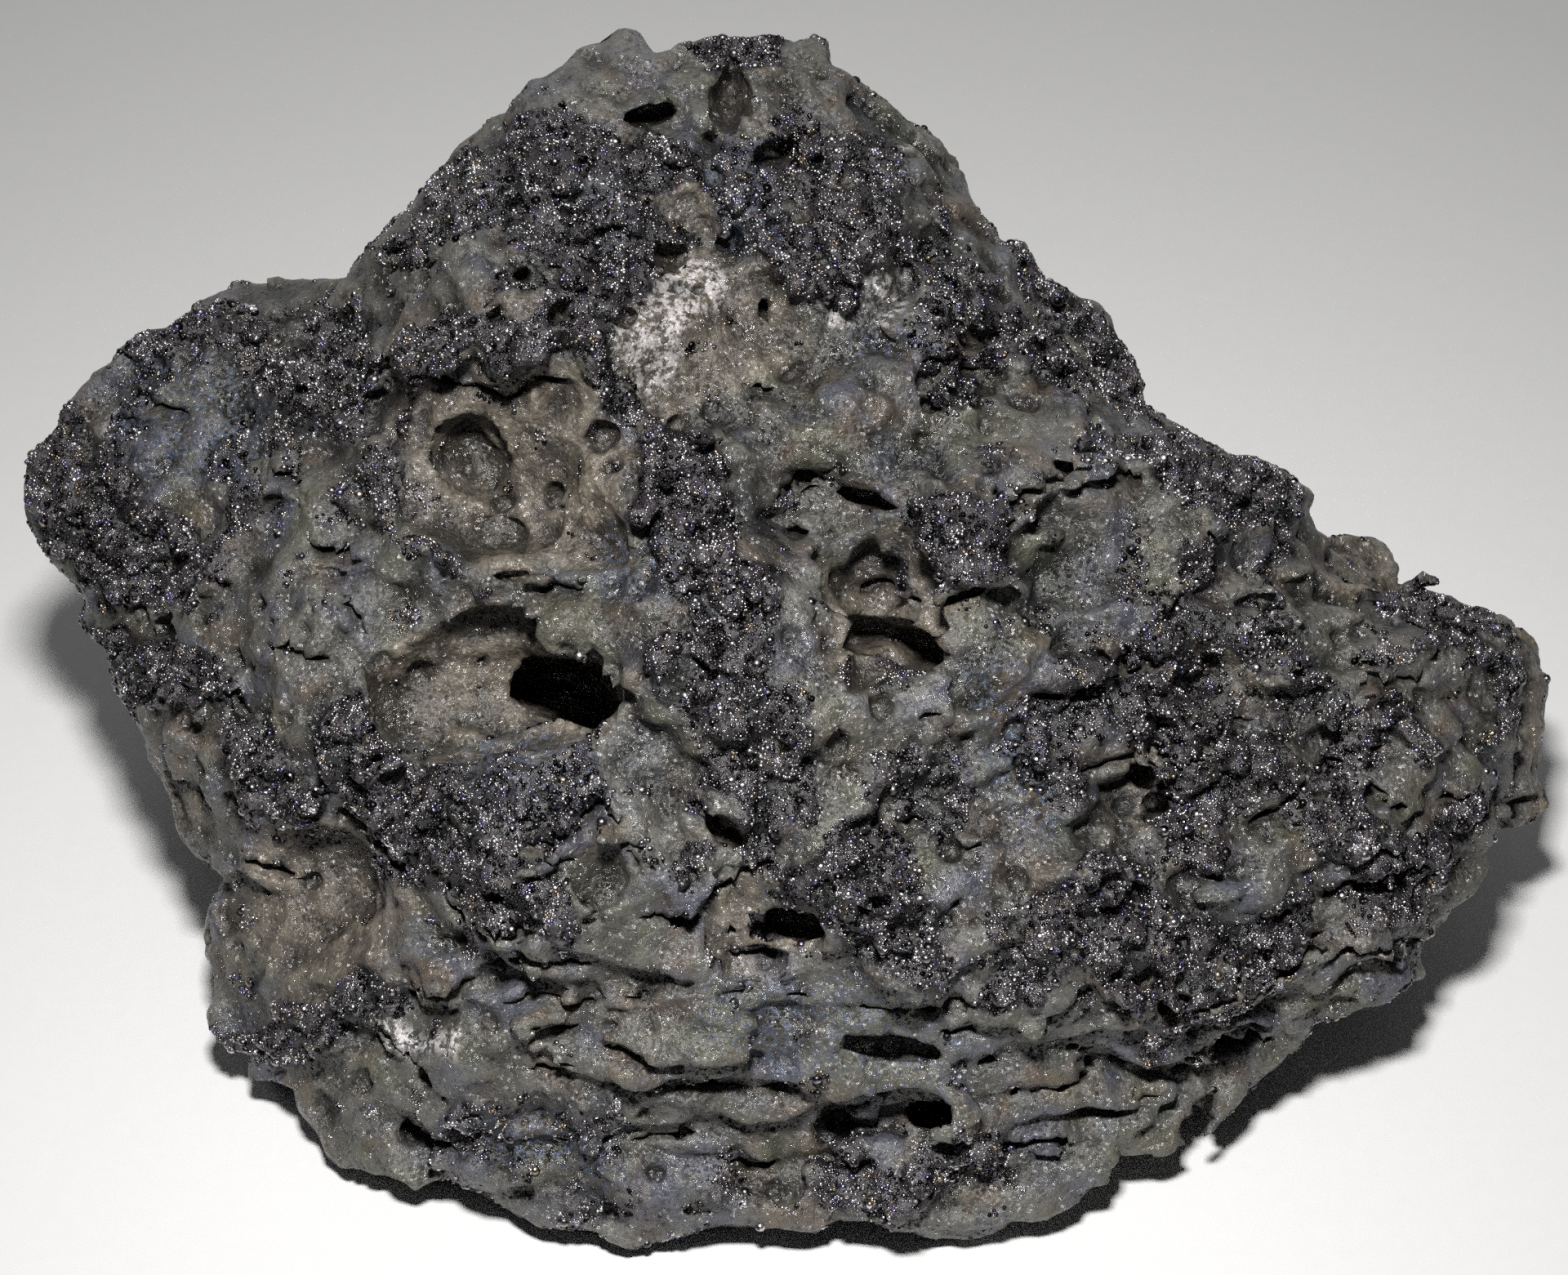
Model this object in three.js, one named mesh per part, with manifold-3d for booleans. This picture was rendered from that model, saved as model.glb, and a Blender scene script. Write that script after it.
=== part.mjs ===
// A hand-sized lump of scoria: a thick slab of dark frothy lava, peaked at the top, on a wider block that
// shows behind its left shoulder and its right one. Gas holes cut it all over, and it rests on a flat patch
// of its underside. It is one solid, in millimetres, +Z up.
//
// It is set out as it is seen from in front and above. A place on it is a pixel [x, y] of that view, which is
// 1920 x 1561 pixels, and a depth is millimetres towards the eye from a plane through the middle of the rock.
import * as THREE from "three";
import { ImprovedNoise } from "three/addons/math/ImprovedNoise.js";
import { mergeVertices } from "three/addons/utils/BufferGeometryUtils.js";
import Module from "manifold-3d";

// Driving dimensions
const VIEW_WIDTH = 96; // what the view takes in, on the plane through the middle of the rock
const VIEW_PIXELS = 1920;
const MM_PER_PIXEL = VIEW_WIDTH / VIEW_PIXELS;
const EYE_DISTANCE = 267;
const EYE_ELEVATION = THREE.MathUtils.degToRad(45);
const VIEW_MIDDLE = [960, 780];
const ROCK_MIDDLE = new THREE.Vector3(-0.08, -4.3, 25); // what the middle of the view shows, at depth 0
const JOIN_TOLERANCE = 0.3; // a shorter edge left by a cut is drawn together

// The front slab. Its outline runs clockwise from the left horn of the peak, and its rim has a depth for each
// bearing from its middle, in degrees anticlockwise from the right. A sphere of 20 * (detail + 1)^2 triangles
// is shaped into it.
const SLAB = {
  middle: [960, 800],
  detail: 12,
  frontShare: 0.76, // of its triangles
  roundness: 7, // how squarely the face meets the rim
  outline: [
    [765, 36], [797, 66], [835, 56], [905, 52], [940, 42], [980, 50], [1004, 42], [1012, 76], [1085, 126],
    [1162, 184], [1176, 236], [1212, 270], [1222, 300], [1236, 345], [1262, 405], [1310, 455], [1345, 512],
    [1392, 560], [1450, 555], [1523, 560], [1594, 597], [1604, 650], [1622, 700], [1680, 738], [1739, 703],
    [1778, 690], [1834, 722], [1836, 790], [1822, 900], [1826, 1010], [1808, 1080], [1745, 1150],
    [1747, 1190], [1694, 1228], [1609, 1250], [1545, 1325], [1480, 1388], [1414, 1430], [1355, 1461],
    [1262, 1502], [1180, 1516], [1100, 1506], [1060, 1492], [998, 1506], [910, 1500], [835, 1512],
    [780, 1526], [735, 1510], [650, 1494], [580, 1456], [508, 1456], [416, 1429], [390, 1385], [361, 1331],
    [303, 1322], [262, 1262], [252, 1215], [250, 1165], [260, 1110], [272, 1076], [240, 1045], [205, 960],
    [180, 905], [172, 850], [196, 760], [240, 660], [276, 585], [306, 512], [345, 455], [400, 398],
    [426, 343], [452, 300], [505, 250], [550, 198], [605, 142], [655, 98], [704, 60], [742, 50],
  ],
  rim: [
    [0, -9], [20, -11], [35, -12], [48, -12], [62, -8], [75, -5], [100, -5], [125, -7], [140, -9], [150, -11],
    [170, -11], [190, -9], [210, -7], [228, -2], [245, 1.5], [265, 2.3], [285, 2.6], [302, 1.5], [315, 0],
    [330, -4], [345, -7], [360, -9],
  ],
};

// The block behind the slab, set out in the same way
const BLOCK = {
  middle: [960, 800],
  detail: 9,
  frontShare: 0.36,
  roundness: 3,
  outline: [
    [775, 70], [905, 76], [996, 76], [1070, 146], [1146, 206], [1196, 292], [1252, 296], [1276, 342],
    [1342, 368], [1388, 440], [1400, 500], [1470, 538], [1510, 575], [1580, 640], [1622, 660], [1681, 658],
    [1713, 694], [1709, 726], [1760, 726], [1840, 756], [1886, 798], [1893, 870], [1886, 935], [1894, 980],
    [1870, 1020], [1832, 1058], [1800, 1086], [1722, 1150], [1712, 1190], [1580, 1234], [1452, 1366],
    [1250, 1474], [1100, 1480], [900, 1474], [750, 1486], [590, 1430], [424, 1390], [340, 1300],
    [286, 1200], [294, 1080], [240, 1000], [190, 900], [144, 841], [110, 777], [92, 716], [46, 661],
    [30, 605], [48, 545], [78, 500], [115, 455], [165, 418], [225, 388], [285, 346], [350, 338], [426, 345],
    [476, 316], [566, 226], [666, 128],
  ],
  rim: [
    [0, -14], [20, -15], [34, -16], [50, -19], [62, -14], [80, -8], [100, -8], [125, -10], [140, -12],
    [170, -14], [190, -12], [215, -9], [235, -4], [260, -2], [290, -2], [310, -4], [335, -8], [360, -14],
  ],
};

// The broad faces of the slab and the block: each is a plane that falls away from its place, by a slope to
// the right and one upwards
const SLAB_FACES = [
  { name: "middle", at: [900, 800], depth: 10.5, right: -0.02, up: -0.02 },
  { name: "peak", at: [870, 330], depth: 9.5, right: 0, up: -0.42 },
  { name: "right wing", at: [1250, 820], depth: 9.5, right: -0.32, up: -0.1 },
  { name: "top of the right wing", at: [1400, 640], depth: 7, right: -0.2, up: -0.5 },
  { name: "left side", at: [640, 800], depth: 9.5, right: 0.4, up: -0.05 },
  { name: "foot", at: [900, 1230], depth: 9.5, right: 0, up: 0.5 },
  { name: "lower left", at: [480, 1150], depth: 5.5, right: 0.45, up: 0.3 },
  { name: "lower right", at: [1560, 1170], depth: 4.5, right: -0.35, up: 0.45 },
];
const BLOCK_FACES = [
  { name: "left lobe", at: [230, 560], depth: -4.5, right: 0.3, up: -0.3 },
  { name: "right ridge", at: [1330, 460], depth: -14, right: -0.2, up: -0.4 },
];
const FACE_BLEND = 2.5; // how widely two faces run into each other

// The broad faces of the hidden side: which way each faces and a point on it
const HIDDEN_FACES = [
  { name: "underside", facing: [0, 0, -1], at: [0, 0, -1.2] },
  { name: "back", facing: [0.1, 1, 0.05], at: [0, 30.2, 20] },
  { name: "left of the back", facing: [-0.75, 0.65, 0.1], at: [-33, 22.7, 20] },
  { name: "right of the back", facing: [0.6, 0.8, -0.1], at: [38, 17.7, 15] },
  { name: "under the left edge", facing: [-0.55, -0.1, -0.8], at: [-37, -6, 4] },
  { name: "under the right edge", facing: [0.5, 0, -0.85], at: [36, 0, 3] },
  { name: "under the back", facing: [0, 0.6, -0.8], at: [0, 22.7, 2] },
];
const HIDDEN_BLEND = 1.5;
const SLAB_INSET = 6; // how far the slab stops short of the back of the block

// Lumps of the surface: how far they lift it and their size. Those of the rim die out near the ground.
const FACE_LUMPS = { lift: 1.3, size: 8 };
const HIDDEN_LUMPS = { lift: 2.6, size: 15 };
const RIM_LUMPS = { lift: 1.5, size: 9, gone: 4, full: 14 };
const HOLE_LUMPS = { share: 0.12, size: 3 };
const LUMP_SHIFTS = [31, 7]; // so that the parts of the lumps differ
const LUMP_GAIN = 1.6; // brings the lumps to between about -1 and 1
const STILL_RIM = 0.12; // share of the reach over which the lumps die out towards the outline
const HIDDEN_ROUNDNESS = 3;
const RING_SPREAD = 0.45; // a half would give every triangle the same area in the view

// Plates and crusts that stand proud of the slab, and hollows in it: a lift's edge is as wide as its slope
const STEPS = [
  { name: "crust over the window", lift: 1.8, slope: 2.6,
    edge: [[430, 420], [560, 330], [700, 300], [790, 420], [740, 480], [700, 450], [620, 478], [560, 466],
      [480, 470]] },
  { name: "crust under the cave", lift: 1.8, slope: 2.6,
    edge: [[430, 940], [600, 935], [740, 915], [790, 1000], [740, 1110], [650, 1150], [570, 1130],
      [490, 1030]] },
  { name: "middle crest", lift: 1.5, slope: 3.5,
    edge: [[800, 560], [890, 560], [960, 740], [1010, 900], [990, 1040], [900, 960], [770, 830]] },
  { name: "hollow of the strap", lift: -1.6, slope: 4,
    edge: [[770, 250], [860, 260], [980, 400], [1040, 520], [1000, 620], [900, 560], [800, 560], [750, 460],
      [860, 390]] },
  { name: "crust of the right shoulder", lift: 1.5, slope: 2.6,
    edge: [[890, 190], [1110, 170], [1200, 270], [1090, 330], [980, 370], [900, 290]] },
  { name: "right plate", lift: 1.7, slope: 2.6,
    edge: [[1120, 590], [1250, 550], [1400, 590], [1270, 630], [1220, 720], [1150, 740]] },
  { name: "knob", lift: 1.8, slope: 2.6,
    edge: [[1440, 560], [1620, 540], [1620, 660], [1500, 670]] },
  { name: "plate beside the left bubble", lift: 1.4, slope: 2.6,
    edge: [[270, 590], [370, 560], [450, 640], [400, 720], [450, 830], [420, 960], [330, 940], [240, 800]] },
  { name: "right skin", lift: -1.2, slope: 4,
    edge: [[1240, 640], [1500, 680], [1560, 900], [1400, 900], [1240, 760]] },
  { name: "foot plate", lift: 2, slope: 2.4,
    edge: [[980, 1060], [1300, 1050], [1740, 1060], [1780, 1130], [1560, 1200], [1430, 1245], [1300, 1250],
      [1080, 1240]] },
  { name: "lower left plates", lift: 1.6, slope: 2.4,
    edge: [[500, 1160], [720, 1180], [800, 1260], [760, 1330], [640, 1320], [540, 1270]] },
  { name: "bottom band", lift: 1.6, slope: 2.6,
    edge: [[620, 1400], [900, 1430], [1160, 1390], [1420, 1370], [1420, 1600], [620, 1600]] },
];

// Gas holes of the face: half sizes across, up and inwards, a turn anticlockwise and how far the middle is
// sunk. A hole with a half size over the wide one is cut by an egg of more detail.
const WIDE_HOLE = 2.5;
const HOLE_DETAIL = { narrow: 1, wide: 2 };
const HOLES = [
  { name: "window", at: [607, 586], half: [5.9, 5.8, 2.7], turn: 0, sunk: 0.2 },
  { name: "window's upper bubble", at: [577, 556], half: [2.3, 2.8, 1.7], turn: 8, sunk: 2.7 },
  { name: "window's lower bubble", at: [608, 662], half: [2, 1.5, 1.5], turn: 0, sunk: 2.4 },
  { name: "cave", at: [590, 850], half: [6.6, 4.2, 4.6], turn: 8, sunk: 0.5 },
  { name: "cave's throat", at: [690, 848], half: [3, 2.8, 6], turn: -20, sunk: 4 },
  { name: "twin hole, upper", at: [1076, 722], half: [3.6, 3.1, 4.5], turn: -35, sunk: 1.2 },
  { name: "twin hole, lower", at: [1098, 808], half: [3.1, 2.3, 5], turn: -8, sunk: 1.6 },
  { name: "creased recess", at: [1000, 620], half: [2.8, 2.3, 1.7], turn: -20, sunk: 0 },
  { name: "left bubble", at: [372, 1078], half: [5.1, 4.7, 3.2], turn: -20, sunk: 0 },
  { name: "shoulder bubble", at: [390, 560], half: [2.6, 2, 1.6], turn: 20, sunk: 0 },
  { name: "peak slot", at: [792, 140], half: [2.4, 1.1, 3], turn: 12, sunk: 0.8 },
  { name: "peak hole", at: [893, 124], half: [1.5, 2.2, 2.4], turn: -12, sunk: 0.5 },
  { name: "small hole of the peak", at: [955, 190], half: [1.6, 1.1, 2.4], turn: 25, sunk: 0.5 },
  { name: "left shoulder hollow", at: [520, 375], half: [2.6, 1.9, 1.3], turn: 0, sunk: 0 },
  { name: "disc", at: [737, 1072], half: [2.1, 2.3, 1.5], turn: 0, sunk: 0.2 },
  { name: "slot under the crust", at: [612, 1146], half: [3.4, 1, 2.4], turn: -6, sunk: 1 },
  { name: "crest slot", at: [872, 1008], half: [1, 2.4, 2.4], turn: 35, sunk: 0.8 },
  { name: "ledge hole", at: [928, 1130], half: [3.7, 3.1, 3.4], turn: 10, sunk: 0.4 },
  { name: "foot slit", at: [1100, 1282], half: [4, 1.1, 4], turn: -7, sunk: 1 },
  { name: "foot cave", at: [1086, 1366], half: [4.4, 1.8, 4], turn: 14, sunk: 0.6 },
  { name: "slot under the foot plate", at: [1490, 1240], half: [3.6, 1, 3.4], turn: 12, sunk: 0.8 },
  { name: "slot at the plate's tip", at: [1640, 1180], half: [3.2, 0.9, 2.4], turn: 14, sunk: 0.8 },
  { name: "slot of the right rim", at: [1690, 1078], half: [3.2, 0.9, 2.4], turn: 6, sunk: 0.6 },
  { name: "slot beside the right plate", at: [1180, 732], half: [2.2, 0.9, 2.4], turn: 30, sunk: 0.6 },
  { name: "skin bubble", at: [1485, 830], half: [3, 2.8, 1.8], turn: 0, sunk: -0.2 },
  { name: "twin pit", at: [1382, 970], half: [2.7, 1.9, 2], turn: -20, sunk: 0 },
];

// Gas holes of the sides, the back and the underside, spread by a spiral: half sizes across, then the shares
// of that which they have the other way and inwards
const BACK_HOLES = {
  count: 20,
  reach: 0.9, // share of the block's reach that the spiral fills
  least: 1.8,
  most: 6,
  narrowest: 0.5,
  widest: 0.9,
  inwards: 0.6,
  seed: 23,
};
const GOLDEN_TURN = Math.PI * (3 - Math.sqrt(5));
const INSIDE = new THREE.Vector3(0, 2, 20); // a point well inside the rock, that the back's holes face
const GROUND = { width: 200, depth: 20 };
const LAVA_COLOUR = 0x4a4745;
const LAVA_ROUGHNESS = 0.55;

const RIGHT = new THREE.Vector3(1, 0, 0);
const UP = new THREE.Vector3(0, Math.sin(EYE_ELEVATION), Math.cos(EYE_ELEVATION));
const TO_EYE = new THREE.Vector3(0, -Math.cos(EYE_ELEVATION), Math.sin(EYE_ELEVATION));
const { clamp, lerp, smoothstep, degToRad, radToDeg, seededRandom } = THREE.MathUtils;
const perlin = new ImprovedNoise();

// Round lumps of one size and half of it with creases between them, from about -1 to 1
function lumps(point, size) {
  const [x, y, z] = point.clone().divideScalar(size);
  const large = Math.abs(perlin.noise(x, y, z)) + Math.abs(perlin.noise(y + LUMP_SHIFTS[0], z, x));
  const small = Math.abs(perlin.noise(2 * x + LUMP_SHIFTS[1], 2 * y, 2 * z));
  return LUMP_GAIN * (large + small) - 1;
}

// Millimetres right and up of the view's middle, at depth 0
function onPlane([x, y]) {
  return [(x - VIEW_MIDDLE[0]) * MM_PER_PIXEL, (VIEW_MIDDLE[1] - y) * MM_PER_PIXEL];
}

// The point that a pixel shows, at a depth
function place(pixel, depth) {
  const [right, up] = onPlane(pixel);
  const nearer = 1 - depth / EYE_DISTANCE;
  return ROCK_MIDDLE.clone()
    .addScaledVector(RIGHT, right * nearer)
    .addScaledVector(UP, up * nearer)
    .addScaledVector(TO_EYE, depth);
}

// Signed distance in millimetres from a closed edge, positive inside
function insideBy([x, y], edge) {
  let nearest = Infinity;
  let inside = false;
  edge.forEach(([ax, ay], i) => {
    const [bx, by] = edge[(i + 1) % edge.length];
    const [dx, dy] = [bx - ax, by - ay];
    const along = clamp(((x - ax) * dx + (y - ay) * dy) / (dx ** 2 + dy ** 2), 0, 1);
    nearest = Math.min(nearest, Math.hypot(x - lerp(ax, bx, along), y - lerp(ay, by, along)));
    if (ay > y !== by > y && x < ax + ((y - ay) * dx) / dy) {
      inside = !inside;
    }
  });
  return (inside ? nearest : -nearest) * MM_PER_PIXEL;
}

// Reads a list of [where, value] anywhere between its ends
function readBetween(list, where) {
  const next = Math.max(1, list.findIndex(([start]) => start >= where));
  const [a, from] = list[next - 1];
  const [b, to] = list[next];
  return lerp(from, to, (where - a) / (b - a || 1));
}

// How far an outline reaches from its middle, as a list of [bearing in degrees, pixels]
function reachesOf({ middle, outline }) {
  const reaches = outline.map(([x, y]) => {
    const bearing = (radToDeg(Math.atan2(middle[1] - y, x - middle[0])) + 360) % 360;
    return [bearing, Math.hypot(x - middle[0], y - middle[1])];
  });
  reaches.sort(([a], [b]) => a - b);
  const [first, last] = [reaches[0], reaches.at(-1)];
  return [[last[0] - 360, last[1]], ...reaches, [first[0] + 360, first[1]]];
}

// The least of several depths, rounded where two of them meet
function roundedLeast(depths, blend) {
  return -blend * Math.log(depths.reduce((sum, depth) => sum + Math.exp(-depth / blend), 0));
}

function faceDepth(faces, pixel) {
  const [right, up] = onPlane(pixel);
  const depths = faces.map((face) => {
    const [faceRight, faceUp] = onPlane(face.at);
    return face.depth + face.right * (right - faceRight) + face.up * (up - faceUp);
  });
  return roundedLeast(depths, FACE_BLEND);
}

// Depth of the slab's face away from its rim, with its plates and hollows
function slabDepth(pixel) {
  return STEPS.reduce((depth, { edge, lift, slope }) => {
    return depth + lift * smoothstep(insideBy(pixel, edge), -slope / 2, slope / 2);
  }, faceDepth(SLAB_FACES, pixel));
}

// Depth of the block's hidden side, as far back as all of the hidden faces allow
function hiddenDepth(pixel) {
  const start = place(pixel, 0);
  const depths = HIDDEN_FACES.map(({ facing, at }) => {
    const normal = new THREE.Vector3(...facing);
    return -normal.dot(new THREE.Vector3(...at).sub(start)) / normal.dot(TO_EYE);
  });
  return -roundedLeast(depths, HIDDEN_BLEND);
}

const wasm = await Module();
wasm.setup();

function solidOf(geometry) {
  geometry.deleteAttribute("normal");
  geometry.deleteAttribute("uv");
  const merged = mergeVertices(geometry, 1e-3);
  return new wasm.Manifold(new wasm.Mesh({
    numProp: 3,
    tolerance: JOIN_TOLERANCE,
    vertProperties: merged.attributes.position.array,
    triVerts: new Uint32Array(merged.index.array),
  }));
}

function geometryOf(solid) {
  const { vertProperties, triVerts } = solid.getMesh();
  const geometry = new THREE.BufferGeometry();
  geometry.setAttribute("position", new THREE.BufferAttribute(vertProperties, 3));
  geometry.setIndex(new THREE.BufferAttribute(triVerts, 1));
  geometry.computeVertexNormals();
  return geometry;
}

// A solid made by moving each point of a sphere to where a function puts it
function movedSphere(detail, moved) {
  const geometry = new THREE.IcosahedronGeometry(1, detail);
  const { position } = geometry.attributes;
  const direction = new THREE.Vector3();
  for (let i = 0; i < position.count; i++) {
    direction.fromBufferAttribute(position, i).normalize();
    position.setXYZ(i, ...moved(direction));
  }
  return solidOf(geometry);
}

// A pillow: an outline shut in front and behind by two lumpy sheets, whose depths are given for each pixel
function pillow({ middle, detail, frontShare, roundness, outline, rim }, frontDepth, backDepth) {
  const reaches = reachesOf({ middle, outline });
  return movedSphere(detail, (direction) => {
    const share = (1 - direction.z) / 2; // of the sphere's area, from the pole that faces the eye
    const isFront = share < frontShare;
    const across = (isFront ? share / frontShare : (1 - share) / (1 - frontShare)) ** RING_SPREAD;
    const turn = Math.atan2(direction.y, direction.x);
    const bearing = (radToDeg(turn) + 360) % 360;
    const pixels = across * readBetween(reaches, bearing);
    const pixel = [middle[0] + pixels * Math.cos(turn), middle[1] - pixels * Math.sin(turn)];
    const sheetDepth = isFront ? frontDepth(pixel) : backDepth(pixel);
    const fullness = Math.sqrt(1 - across ** (isFront ? roundness : HIDDEN_ROUNDNESS));
    const point = place(pixel, lerp(rimDepth(rim, bearing, pixel), sheetDepth, fullness));
    const outwards = isFront ? TO_EYE : point.clone().sub(INSIDE).normalize();
    const { lift, size } = isFront ? FACE_LUMPS : HIDDEN_LUMPS;
    return point.addScaledVector(outwards, lift * smoothstep(1 - across, 0, STILL_RIM) * lumps(point, size));
  });
}

// Depth of a pillow's rim, with its lumps
function rimDepth(rim, bearing, pixel) {
  const ground = place(pixel, 0);
  const { lift, size, gone, full } = RIM_LUMPS;
  return readBetween(rim, bearing) + lift * lumps(ground, size) * smoothstep(ground.z, gone, full);
}

// An egg with a lumpy surface, which cuts a gas hole
function hole(half, axes, middle) {
  const detail = Math.max(...half) > WIDE_HOLE ? HOLE_DETAIL.wide : HOLE_DETAIL.narrow;
  return movedSphere(detail, (direction) => {
    const offset = new THREE.Vector3();
    direction.toArray().forEach((part, i) => offset.addScaledVector(axes[i], part * half[i]));
    const swelling = 1 + HOLE_LUMPS.share * lumps(offset.clone().add(middle), HOLE_LUMPS.size);
    return offset.multiplyScalar(swelling).add(middle);
  });
}

function faceHole({ at, half, turn, sunk }) {
  const across = RIGHT.clone().applyAxisAngle(TO_EYE, degToRad(turn));
  const upwards = UP.clone().applyAxisAngle(TO_EYE, degToRad(turn));
  return hole(half, [across, upwards, TO_EYE], place(at, slabDepth(at) - sunk));
}

function backHole(i) {
  const chance = (n) => seededRandom(BACK_HOLES.seed + 10 * i + n);
  const share = Math.sqrt((i + 0.5) / BACK_HOLES.count) * BACK_HOLES.reach;
  const turn = i * GOLDEN_TURN;
  const reach = share * readBetween(reachesOf(BLOCK), radToDeg(turn) % 360);
  const pixel = [BLOCK.middle[0] + reach * Math.cos(turn), BLOCK.middle[1] - reach * Math.sin(turn)];
  const middle = place(pixel, hiddenDepth(pixel));
  const size = lerp(BACK_HOLES.least, BACK_HOLES.most, chance(0) ** 2);
  const inwards = middle.clone().sub(INSIDE).normalize();
  const across = new THREE.Vector3().crossVectors(inwards, UP).normalize();
  const upwards = new THREE.Vector3().crossVectors(inwards, across);
  const narrowness = lerp(BACK_HOLES.narrowest, BACK_HOLES.widest, chance(1));
  const half = [size, size * narrowness, size * BACK_HOLES.inwards];
  return hole(half, [across, upwards, inwards], middle);
}

function groundSolid() {
  const { width, depth } = GROUND;
  return solidOf(new THREE.BoxGeometry(width, width, depth).translate(0, 0, -depth / 2));
}

function rockSolid() {
  const slab = pillow(SLAB, slabDepth, (pixel) => hiddenDepth(pixel) + SLAB_INSET);
  const block = pillow(BLOCK, (pixel) => faceDepth(BLOCK_FACES, pixel), hiddenDepth);
  const backHoles = Array.from({ length: BACK_HOLES.count }, (_, i) => backHole(i));
  const cutters = [...HOLES.map(faceHole), ...backHoles, groundSolid()];
  const pieces = cutters.reduce((solid, cutter) => solid.subtract(cutter), slab.add(block)).decompose();
  return pieces.reduce((a, b) => (a.volume() > b.volume() ? a : b));
}

const lava = new THREE.MeshStandardMaterial({ color: LAVA_COLOUR, roughness: LAVA_ROUGHNESS, metalness: 0 });
const scoria = new THREE.Mesh(geometryOf(rockSolid()), lava);
scoria.name = "scoria_rock";

const part = new THREE.Group();
part.add(scoria);

export default part;
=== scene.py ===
import math

import bpy
import mathutils
import numpy as np
import openvdb as vdb
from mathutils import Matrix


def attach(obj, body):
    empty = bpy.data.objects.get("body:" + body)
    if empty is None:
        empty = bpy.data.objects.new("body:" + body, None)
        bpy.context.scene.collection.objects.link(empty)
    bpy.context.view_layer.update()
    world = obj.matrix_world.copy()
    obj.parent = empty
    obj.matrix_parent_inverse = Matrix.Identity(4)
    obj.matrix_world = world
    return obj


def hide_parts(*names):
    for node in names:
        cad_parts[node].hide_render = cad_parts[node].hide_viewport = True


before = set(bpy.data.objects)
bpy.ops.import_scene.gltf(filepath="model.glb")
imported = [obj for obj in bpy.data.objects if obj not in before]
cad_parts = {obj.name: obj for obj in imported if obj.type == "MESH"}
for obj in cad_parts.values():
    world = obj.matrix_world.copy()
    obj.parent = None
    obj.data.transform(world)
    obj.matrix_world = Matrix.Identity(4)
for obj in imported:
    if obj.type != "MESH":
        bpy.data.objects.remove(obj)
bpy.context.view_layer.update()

# The view
VIEW_WIDTH = 96.0  # what the view takes in, on the plane through the middle of the rock
VIEW_SIZE = (1920, 1561)
MM_PER_PIXEL = VIEW_WIDTH / VIEW_SIZE[0]
VIEW_MIDDLE = (960.0, 780.0)
EYE_DISTANCE = 267.0
EYE_ELEVATION = math.radians(45)
ROCK_MIDDLE = np.array([-0.08, -4.3, 25.0])
RIGHT = np.array([1.0, 0.0, 0.0])
UP = np.array([0.0, math.sin(EYE_ELEVATION), math.cos(EYE_ELEVATION)])
TO_EYE = np.array([0.0, -math.cos(EYE_ELEVATION), math.sin(EYE_ELEVATION)])
METRES = 0.001

# The block of cells
CELL = 0.25
LOW_CELL = np.array([-202, -137, -8])
CELLS = (404, 274, 212)
LOW = LOW_CELL * CELL
HALF_BAND = 19  # cells on each side of the surface that hold its true distance
JUST_INSIDE = 1.001  # keeps a place that is read between cells short of the last one

# Maps of the view
MAP_STEP = 4  # pixels between the values of a map
MAP_MARGIN = 60  # pixels round the view
MAP_X = np.arange(-MAP_MARGIN, VIEW_SIZE[0] + MAP_MARGIN, MAP_STEP, dtype=np.float32)
MAP_Y = np.arange(-MAP_MARGIN, VIEW_SIZE[1] + MAP_MARGIN, MAP_STEP, dtype=np.float32)
ZONE_REACH = 60  # pixels outside a zone that its map still tells apart
BROAD_REACH = 120
RIM_REACH = 400

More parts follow.
